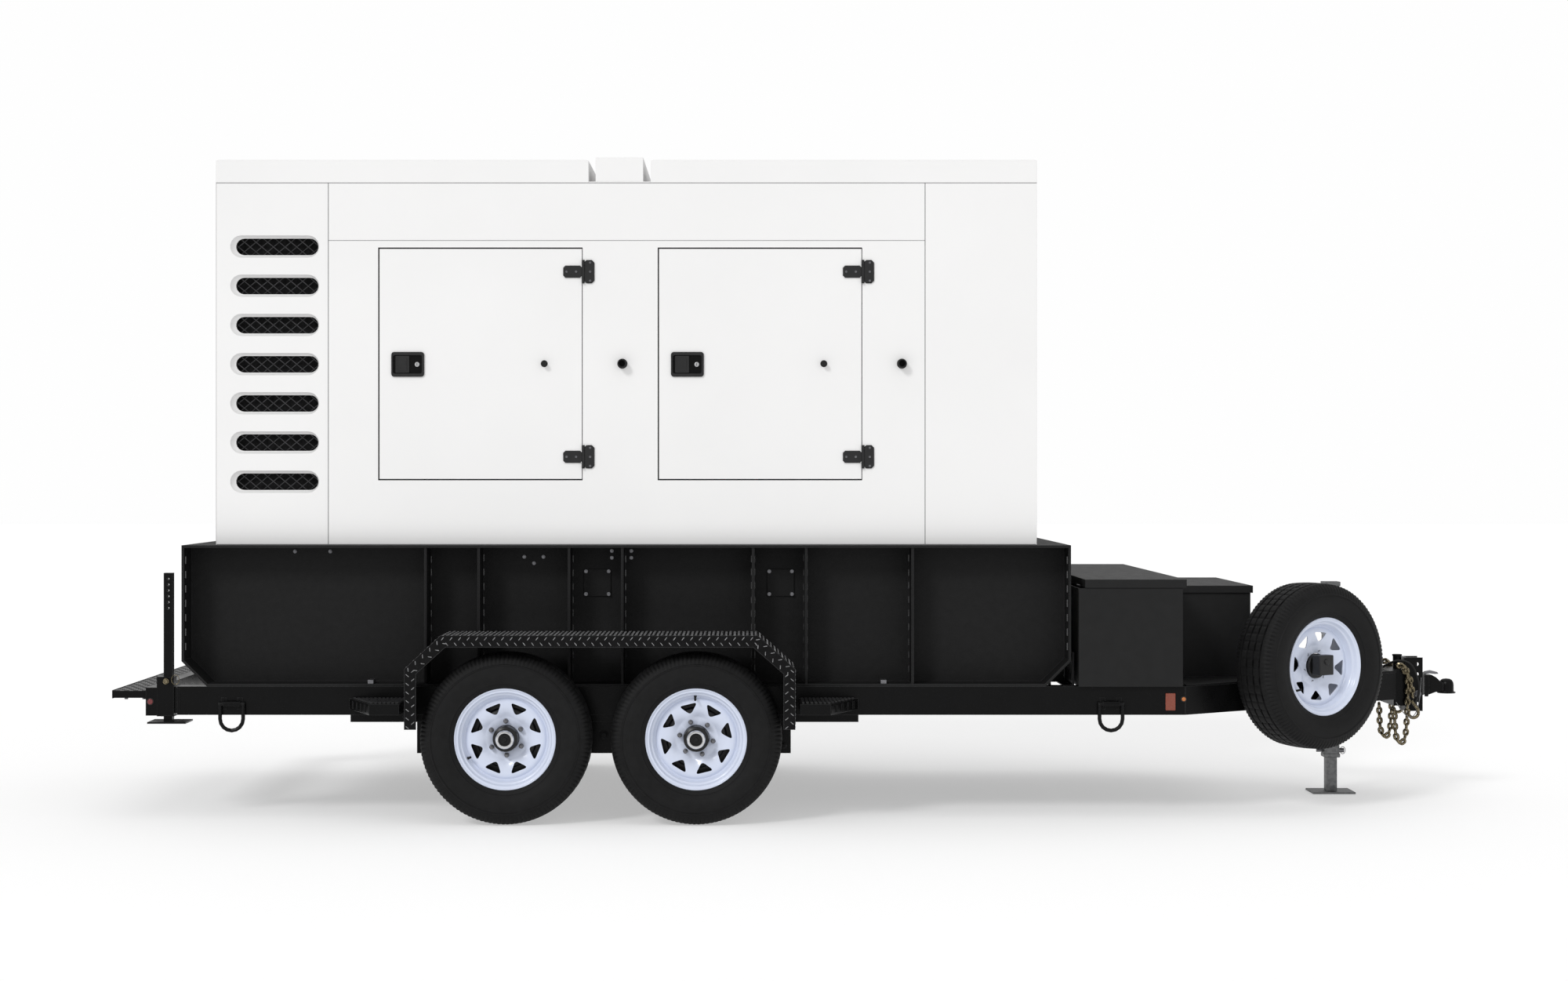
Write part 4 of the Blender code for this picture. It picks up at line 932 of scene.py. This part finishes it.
# Fuel tank details ------------------------------------------------------------------------
WALL_Y, PAD_Z, PAD_X = 0.73, 0.976, (-0.919, -0.145)
TANK_BOLTS = ((-2.197, 1.108), (-2.048, 1.108), (-1.228, 1.085), (-1.147, 1.085), (-1.187, 1.058),
              (-0.858, 1.110), (-0.858, 1.081), (-0.776, 1.110), (-0.776, 1.081))
STIFFENERS_X = (-1.628, -1.406, -1.029, -0.807, -0.261, -0.040, 0.404)
bolts, plates, beads = Shape(), Shape(), Shape()
random.seed(7)
for side in SIDES.values():
    y = side * WALL_Y
    for x in PAD_X:
        plates.box(span(x, 0.056), (y, y + side * 0.008), span(PAD_Z, 0.056))
        for dx in (-0.048, 0.048):
            for dz in (-0.048, 0.048):
                bolts.bolt((x + dx, y + side * 0.008, PAD_Z + dz), (0, side, 0), 0.0062, 0.008)
    for x, z in TANK_BOLTS:
        bolts.bolt((x, y, z), (0, side, 0), 0.0062, 0.010)
    for x in (-1.857, 0.283):
        bolts.box(span(x, 0.012), (side * 0.80, side * 0.872), (0.560, 0.576))
    for x in STIFFENERS_X:
        for number in range(9):
            z = 0.60 + number * 0.058 + random.uniform(-0.004, 0.004)
            for dx in (-0.0060, 0.0060):
                beads.pin((x + dx, y + side * 0.002, z), "Z", z + 0.028, 0.0035, 6)
    for x in (TANK_LOW[0] + 0.012, TANK_HIGH[0] - 0.012):
        for number in range(7):
            z = 0.70 + number * 0.060
            beads.pin((x, side * 0.86, z), "Z", z + 0.030, 0.0040, 6)
bolts.piece("tank_bolts", "lug", bevel=0.0005)
plates.piece("tank_plates", "tank_black", bevel=0.001)
beads.piece("tank_weld_beads", "weld", slot="frame_black")

FILLER_X, FILLER_Y, top = -2.575, 0.35, TANK_HIGH[2]
cap = Shape()
for low, high, radius, sides in ((-0.030, 0.018, 0.047, 40), (0.0005, 0.010, 0.060, 40),
                                 (0.012, 0.034, 0.056, 12)):
    cap.pin((FILLER_X, FILLER_Y, top + low), "Z", top + high, radius, sides)
cap.piece("filler_cap", "black_plastic", bevel=0.002)
vent = [(FILLER_X, -FILLER_Y - out, top + rise) for out, rise in (
    (0, 0), (0, 0.06), (0.01, 0.08), (0.03, 0.085), (0.05, 0.075), (0.05, 0.055))]
Shape().sweep(vent, 0.011, 14).piece("tank_vent_pipe", "galvanised")


# Stabilisers, jack and coupler --------------------------------------------------------------
for side_name, side in SIDES.items():
    leg_x = middle(f"{side_name}_stabiliser_leg")[0] - 0.005     # the foot reaches further forward than back
    face, pin_x, pin_z = side * 0.880, leg_x - 0.004, 0.5715
    pin = Shape().pin((pin_x, face - side * 0.004, pin_z), "Y", face + side * 0.014, 0.0125, 28)
    pin.pin((pin_x, face + side * 0.012, pin_z), "Y", face + side * 0.020, 0.0085, 20)
    pin.sweep(oval(leg_x + 0.034, face + side * 0.006, 0.578, 0.016, 0.020, 20), 0.0014, 8, cyclic=True)
    pin.piece(f"{side_name}_stabiliser_pin", "yellow_zinc", bevel=0.0008)
    weld = Shape().box(span(leg_x, 0.028), (side * 0.8265, side * 0.8805), (0.4245, 0.4300))
    weld.box((leg_x + 0.0265, leg_x + 0.038), (side * 0.835, side * 0.872), (0.437, 0.545))
    weld.piece(f"{side_name}_stabiliser_gusset", "frame_black", bevel=0.001)

jack_x, PULL_Z = middle("jack_tube")[0], 0.188
jack = Shape().box(span(jack_x, 0.037), span(0, 0.037), (0.930, 0.950))
jack.pin((jack_x, -0.037, 0.900), "Y", 0.040, 0.024, 24)
jack.box(span(jack_x, 0.036), span(0, 0.036), (0.160, 0.176))
jack.piece("jack_collars", "galvanised", bevel=0.002)
pins = Shape().pin((jack_x - 0.064, 0, PULL_Z), "X", jack_x - 0.030, 0.007)
pins.pin((jack_x + 0.030, 0, PULL_Z), "X", jack_x + 0.060, 0.010)
pins.sweep(oval(jack_x + 0.055, 0.0, PULL_Z, 0.012, 0.016, 16), 0.0016, 6, cyclic=True)
pins.piece("jack_pull_pins", "lug")
Shape().pin((jack_x, 0.125, 0.725), "Y", 0.224, 0.0150, 20).piece(
    "jack_crank_grip", "black_plastic", "jack_handle", bevel=0.003)

BALL = (2.868, 0, 0.481)
head = Shape().lathe([
    (0.027, -0.034), (0.041, -0.034), (0.041, -0.029), (0.033, -0.026), (0.0325, 0.004), (0.0305, 0.015),
    (0.025, 0.024), (0.0165, 0.0295), (0.0004, 0.0315), (0.0004, 0.0255), (0.014, 0.0235), (0.022, 0.016),
    (0.027, 0.002)], 48, matrix=Matrix.Translation(BALL))
head.plate([(2.764, 0.44), (2.785, 0.442), (2.815, 0.453), (2.848, 0.456), (2.848, 0.492), (2.834, 0.502),
            (2.816, 0.519), (2.796, 0.53), (2.764, 0.53)], -0.026, 0.026)
for y in (-0.0415, 0.0355):
    head.plate([(2.76, 0.434), (2.776, 0.434), (2.782, 0.462), (2.782, 0.51), (2.774, 0.532), (2.76, 0.532)],
               y, y + 0.006)
head.piece("coupler_head", "frame_black", bevel=0.002, stands_for=("coupler",))
BOLT_X, BOLT_Z = 2.726, 0.447
bolts = Shape().pin((BOLT_X, -0.066, BOLT_Z), "Y", 0.066, 0.0080, 14)
for side in SIDES.values():
    bolts.bolt((BOLT_X, side * 0.052, BOLT_Z), (0, side, 0), 0.012, 0.012)
bolts.piece("coupler_bolts", "lug", bevel=0.0006)
lever = Shape().plate([(2.766, 0.532), (2.77, 0.544), (2.796, 0.549), (2.824, 0.542), (2.83, 0.534),
                       (2.815, 0.533), (2.79, 0.536)], -0.013, 0.013)
lever.pin((2.7705, -0.018, 0.5365), "Y", 0.018, 0.0052)
lever.piece("coupler_latch_lever", "lug", "latch_lever", bevel=0.0015, stands_for=("coupler_latch",))
Shape().pin((2.646, 0, 0.555), "Z", 0.618, 0.0190, 28).pin((2.646, 0, 0.614), "Z", 0.622, 0.0215, 28).piece(
    "nose_post", "frame_black", bevel=0.001)

LINK_WIRE, LINK_LONG, LINK_WIDE = 0.0066, 0.036, 0.029


def chain(shape, path):
    """Oval links along a path, each a quarter turn from the last."""
    lengths = [0.0]
    for a, b in zip(path, path[1:]):
        lengths.append(lengths[-1] + (b - a).length)
    pitch = LINK_LONG - 2 * LINK_WIRE
    bend, straight = LINK_WIDE / 2 - LINK_WIRE, LINK_LONG / 2 - LINK_WIDE / 2

    def at(distance):
        for i in range(len(path) - 1):
            if distance <= lengths[i + 1]:
                t = (distance - lengths[i]) / (lengths[i + 1] - lengths[i])
                return path[i].lerp(path[i + 1], t)
        return path[-1]

    for number in range(int(lengths[-1] / pitch)):
        centre = at((number + 0.5) * pitch)
        ahead = (at((number + 1) * pitch) - at(number * pitch)).normalized()
        cross = ahead.cross(Vector((0.3, 1, 0.1))).normalized()
        if number % 2:
            cross = ahead.cross(cross).normalized()
        ring = []
        for step in range(14):
            cos, sin = math.cos(TAU * step / 14), math.sin(TAU * step / 14)
            reach = math.copysign(straight, cos) if abs(cos) > 1e-6 else 0
            ring.append(centre + ahead * (cos * bend + reach) + cross * sin * bend)
        shape.sweep(ring, LINK_WIRE, 7, cyclic=True)


HOOK_X, HOOK_R = 2.680, 0.022
for side_name, side in SIDES.items():
    links = Shape()
    y = side * 0.1385
    chain(links, arc_path([
        (2.612, side * 0.132, 0.578), (2.640, side * 0.140, 0.580), (2.655, y, 0.545), (2.659, y, 0.470),
        (2.654, y, 0.340), (2.648, y, 0.270), (2.634, y, 0.240), (2.616, y, 0.244), (2.603, y, 0.290),
        (2.598, y, 0.412)], 90))
    chain(links, arc_path([
        (2.640, side * 0.134, 0.566), (2.668, side * 0.139, 0.520), (2.682, side * 0.143, 0.430)], 30))
    links.piece(f"{side_name}_chain_links", "yellow_zinc", stands_for=(f"{side_name}_safety_chain",))
    hook = [(HOOK_X - 0.004, y, 0.425), (HOOK_X + 0.010, y, 0.405), (HOOK_X + 0.024, y, 0.385)]
    for step in range(9):
        angle = math.radians(30 - 240 * step / 8)
        hook.append((HOOK_X + 0.004 + HOOK_R * math.cos(angle), y, 0.370 + HOOK_R * math.sin(angle)))
    Shape().sweep(arc_path(hook, 48), 0.0072, 10).piece(f"{side_name}_grab_hook", "yellow_zinc")

start, low, end = Vector((2.60, -0.165, 0.42)), Vector((2.68, -0.16, 0.36)), Vector((2.74, -0.0565, 0.52))
sag = low - (start + end) / 2
route = [start.lerp(end, n / 24) + sag * 4 * (n / 24) * (1 - n / 24) for n in range(25)]
Shape().sweep(route, 0.0017).piece("breakaway_strand", "steel_cable", stands_for=("breakaway_cable",))
route = arc_path([(2.560, -0.05, 0.565), (2.620, -0.10, 0.598), (2.672, -0.135, 0.585),
                  (2.700, -0.150, 0.520), (2.705, -0.150, 0.460), (2.690, -0.140, 0.415)], 50)
Shape().sweep(route, 0.0055, 10).piece("tongue_lead_loop", "hose")


# Tool boxes -------------------------------------------------------------------------------
SEAL = 0.014
for label, body in (("main_box", "main_lid"), ("front_box", "front_lid")):
    lid_low, lid_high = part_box(f"{label}_lid")
    box_low, box_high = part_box(label)
    front_x = box_high[0] if label == "main_box" else 1.90
    half = min(0.7, lid_high[1] - 0.12)
    knuckles = Shape()
    for y in (-half, 0.0, half):
        knuckles.pin((lid_low[0], y - 0.045, lid_low[2] + 0.002), "Y", y + 0.045, 0.0045, 14)
    knuckles.piece(f"{label}_hinge_knuckles", "lug", body)
    x0, x1 = max(lid_low[0], box_low[0]) + 0.004, min(lid_high[0], front_x) - 0.004
    y0, y1 = lid_low[1] + 0.02, lid_high[1] - 0.02
    seal = Shape()
    for x, y in (((x0, x0 + SEAL), (y0, y1)), ((x1 - SEAL, x1), (y0, y1)), ((x0, x1), (y0, y0 + SEAL)),
                 ((x0, x1), (y1 - SEAL, y1))):
        seal.box(x, y, (lid_high[2] - 0.012, lid_high[2] - 0.0045))
    seal.piece(f"{label}_lid_seal", "seal_and_shade_black", body)
    catch, catch_z = Shape(), lid_low[2] - 0.055
    for y in (-half * 0.75, half * 0.75):
        catch.plate(rounded(span(y, 0.035), span(catch_z, 0.030), 0.008), front_x, front_x + 0.006, "YZ")
        catch.pin((front_x + 0.005, y, catch_z), "X", front_x + 0.009, 0.010, 20)
    catch.piece(f"{label}_catches", "black_plastic", bevel=0.0015)


# Roof, front and rear ends ------------------------------------------------------------------
screws = Shape()
for y in [-0.70 + 0.2 * n for n in range(8)]:
    for x in (HOUSE_X0 + 0.09, -1.04, -0.60, HOUSE_X1 - 0.09):
        screws.pin((x, y, 2.7555), "Z", 2.7585, 0.008)
screws.piece("roof_screws", "chrome", bevel=0.001)
Shape().lathe([(0.050, -0.002), (0.085, -0.002), (0.085, 0.0035), (0.050, 0.0045)], 40,
              matrix=Matrix.Translation((-0.30, 0.42, 2.756))).piece("exhaust_outlet_ring", "galvanised")

GRILLE_Y, FRAME_Y, FRAME_Z, FRAME_W = 0.55, 0.58, (1.40, 2.40), 0.03
grille = Shape()
for z in [1.45 + 0.05 * n for n in range(19)]:
    turn = Matrix.Translation((HOUSE_X1 + 0.001, 0, z)) @ Matrix.Rotation(math.radians(35), 4, "Y")
    grille.box(span(0, 0.0015), span(0, GRILLE_Y), span(0, 0.018), matrix=turn)
x = (HOUSE_X1 - 0.001, HOUSE_X1 + 0.012)
for y in ((-FRAME_Y, -FRAME_Y + FRAME_W), (FRAME_Y - FRAME_W, FRAME_Y)):
    grille.box(x, y, FRAME_Z)
for z in ((FRAME_Z[0], FRAME_Z[0] + FRAME_W), (FRAME_Z[1] - FRAME_W, FRAME_Z[1])):
    grille.box(x, span(0, FRAME_Y), z)
grille.piece("discharge_grille", "housing_white", bevel=0.001)
Shape().box((HOUSE_X1 + 0.0002, HOUSE_X1 + 0.0015), span(0, GRILLE_Y), (1.43, 2.37)).piece(
    "discharge_grille_shade", "seal_and_shade_black", smooth=False)

cover_x = HOUSE_X0 - 0.0025
Shape().plate(rounded(span(0, 0.52), (1.42, 2.36), 0.02), cover_x, HOUSE_X0, "YZ").piece(
    "rear_access_cover", "housing_white", bevel=0.0012)
screws = Shape()
for y in (-0.49, -0.25, 0.0, 0.25, 0.49):
    for z in (1.45, 2.33):
        screws.bolt((cover_x, y, z), (-1, 0, 0), 0.006, 0.005)
screws.piece("rear_cover_screws", "chrome")


# Power unit -------------------------------------------------------------------------------
SHAFT_Z, FAN_X = 1.62, 0.222
detail = Shape()
for x in [-0.82 + 0.15 * n for n in range(6)]:
    detail.box((x, x + 0.11), span(0, 0.145), (2.078, 2.12))
for y in (-0.215, 0.215):
    for x in [-0.86 + 0.14 * n for n in range(7)]:
        detail.box((x, x + 0.022), (y, y * 0.9), (1.36, 1.88))
detail.pin((0.185, 0, SHAFT_Z), "X", 0.212, 0.13, 40)
detail.piece("engine_covers", "engine_iron", bevel=0.006)
filters = Shape()
for x, z, radius in ((-0.70, 1.52, 0.050), (-0.55, 1.52, 0.045)):
    filters.pin((x, -0.275, z - 0.10), "Z", z + 0.08, radius, 28)
    filters.box(span(x, 0.03), (-0.28, -0.20), (z + 0.075, z + 0.115))
filters.pin((-0.75, -0.33, 2.20), "X", -0.30, 0.105, 36)
filters.piece("engine_filters", "black_plastic", bevel=0.004)
pipes = Shape()
for points, radius, sides in (
        (((-0.30, -0.33, 2.20), (-0.18, -0.32, 2.20), (-0.10, -0.26, 2.16), (-0.08, -0.15, 2.06)), 0.045, 16),
        (((0.10, 0.12, 2.05), (0.22, 0.14, 2.14), (0.36, 0.14, 2.30), (0.455, 0.14, 2.42)), 0.028, 14),
        (((0.15, -0.16, 1.38), (0.25, -0.30, 1.30), (0.36, -0.36, 1.25), (0.452, -0.36, 1.24)), 0.028, 14)):
    pipes.sweep(arc_path(points, 40), radius, sides)
pipes.piece("coolant_and_air_hoses", "hose")
belt = []
for step in range(36):
    cos, sin = math.cos(TAU * step / 36), math.sin(TAU * step / 36)
    belt.append((FAN_X, 0.115 * cos, SHAFT_Z + 0.115 * sin + (0.14 if sin > 0 else -0.16)))
Shape().sweep(belt, 0.006, cyclic=True).piece("fan_belt", "hose")
casing = Shape()
for x in [-1.66 + 0.055 * n for n in range(12)]:
    casing.lathe([(0.298, 0.0), (0.308, 0.0), (0.308, 0.018), (0.298, 0.018)], 48,
                 matrix=Matrix.Translation((x, 0, SHAFT_Z)) @ Matrix.Rotation(math.pi / 2, 4, "Y"))
casing.piece("generator_barrel_ribs", "engine_iron")
fins = Shape()
for z in [1.30 + 0.018 * n for n in range(60)]:
    fins.box((0.4665, 0.5635), span(0, 0.545), (z, z + 0.004))
fins.piece("radiator_fins", "radiator_alloy", smooth=False)
floor = TANK_HIGH[2] + 0.0005
battery = Shape().box((-0.30, 0.02), (-0.66, -0.48), (floor, floor + 0.20))
battery.box((-0.305, 0.025), (-0.665, -0.475), (floor + 0.185, floor + 0.215))
battery.piece("starter_battery", "black_plastic", bevel=0.006)
Shape().sweep(arc_path([
    (-0.24, -0.57, floor + 0.22), (-0.26, -0.52, floor + 0.30), (-0.34, -0.36, floor + 0.30),
    (-0.42, -0.205, floor + 0.26)], 36), 0.008, 10).piece("battery_lead", "copper_red")

face_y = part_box("control_panel")[0][1]
Shape().plate(rounded((-1.72, -1.56), (2.10, 2.24), 0.008), face_y - 0.006, face_y).piece(
    "control_bezel", "black_plastic", bevel=0.002)
Shape().plate(rounded((-1.705, -1.575), (2.135, 2.225), 0.004), face_y - 0.0075, face_y - 0.0055).piece(
    "control_screen", "screen")
keys = Shape()
for number in range(5):
    keys.pin((-1.70 + number * 0.030, face_y - 0.005, 2.117), "Y", face_y - 0.009, 0.009, 20)
for number in range(4):
    keys.pin((-1.70 + number * 0.09, face_y, 1.98), "Y", face_y - 0.020, 0.018, 24)
keys.piece("control_keys", "black_plastic", bevel=0.001)
stop = Shape().pin((-1.47, face_y, 2.18), "Y", face_y - 0.018, 0.012, 24)
stop.pin((-1.47, face_y - 0.016, 2.18), "Y", face_y - 0.030, 0.022, 32)
stop.piece("emergency_stop", "red_paint", bevel=0.003)


# Studio -----------------------------------------------------------------------------------
WHITE = (1.0, 1.0, 1.0, 1)
FLOOR_SIZE, FLOOR_GREY, FLOOR_GLOW = 60, 0.58, 0.42
ground = bmesh.new()
bmesh.ops.create_grid(ground, x_segments=1, y_segments=1, size=FLOOR_SIZE)
ground_mesh = bpy.data.meshes.new("studio_floor")
ground.to_mesh(ground_mesh)
ground.free()
studio_floor = add_object("studio_floor", ground_mesh)
studio_floor.location = (0, 0, -0.0008)
paper = bpy.data.materials.new("studio_floor")
paper.use_nodes = True
set_inputs(paper.node_tree.nodes["Principled BSDF"], Base_Color=(FLOOR_GREY, FLOOR_GREY, FLOOR_GREY, 1),
           Roughness=0.9, Specular_IOR_Level=0.1, Emission_Color=WHITE, Emission_Strength=FLOOR_GLOW)
ground_mesh.materials.append(paper)

SUNS = (                          # name, way the light goes, how wide it is in degrees, strength
    ("key_light", (0.50, 0.72, -0.62), 14, 1.15),
    ("fill_light", (-0.55, 0.75, -0.30), 50, 0.20),
    ("top_light", (0.0, -0.15, -1.0), 80, 0.40))
for name, way, angle, strength in SUNS:
    data = bpy.data.lights.new(name, "SUN")
    data.angle = math.radians(angle)
    data.energy = strength
    add_object(name, data).rotation_euler = Vector(way).to_track_quat("-Z", "Y").to_euler()

# The camera sees a brighter backdrop than the one that lights the object
world = bpy.data.worlds.new("studio")
bpy.context.scene.world = world
world.use_nodes = True
sky_tree = world.node_tree
sky = sky_tree.nodes["Background"]
set_inputs(sky, Color=WHITE, Strength=0.66)
backdrop = add_node(sky_tree, "Background", Color=WHITE, Strength=0.992)
path, blend = add_node(sky_tree, "LightPath"), add_node(sky_tree, "MixShader")
for number, source in enumerate((path.outputs["Is Camera Ray"], sky.outputs[0], backdrop.outputs[0])):
    sky_tree.links.new(source, blend.inputs[number])
sky_tree.links.new(blend.outputs[0], sky_tree.nodes["World Output"].inputs[0])
bpy.context.scene.view_settings.view_transform = "Standard"

camera_data = bpy.data.cameras.new("camera")
camera_data.sensor_width = 36.0
camera_data.lens = 58.5
camera_data.shift_x = 0.0215
camera_data.shift_y = -0.0113
camera = add_object("camera", camera_data)
camera.location = (-0.273, -11.5, 1.44)
camera.rotation_euler = (math.radians(90), 0, 0)
bpy.context.scene.camera = camera
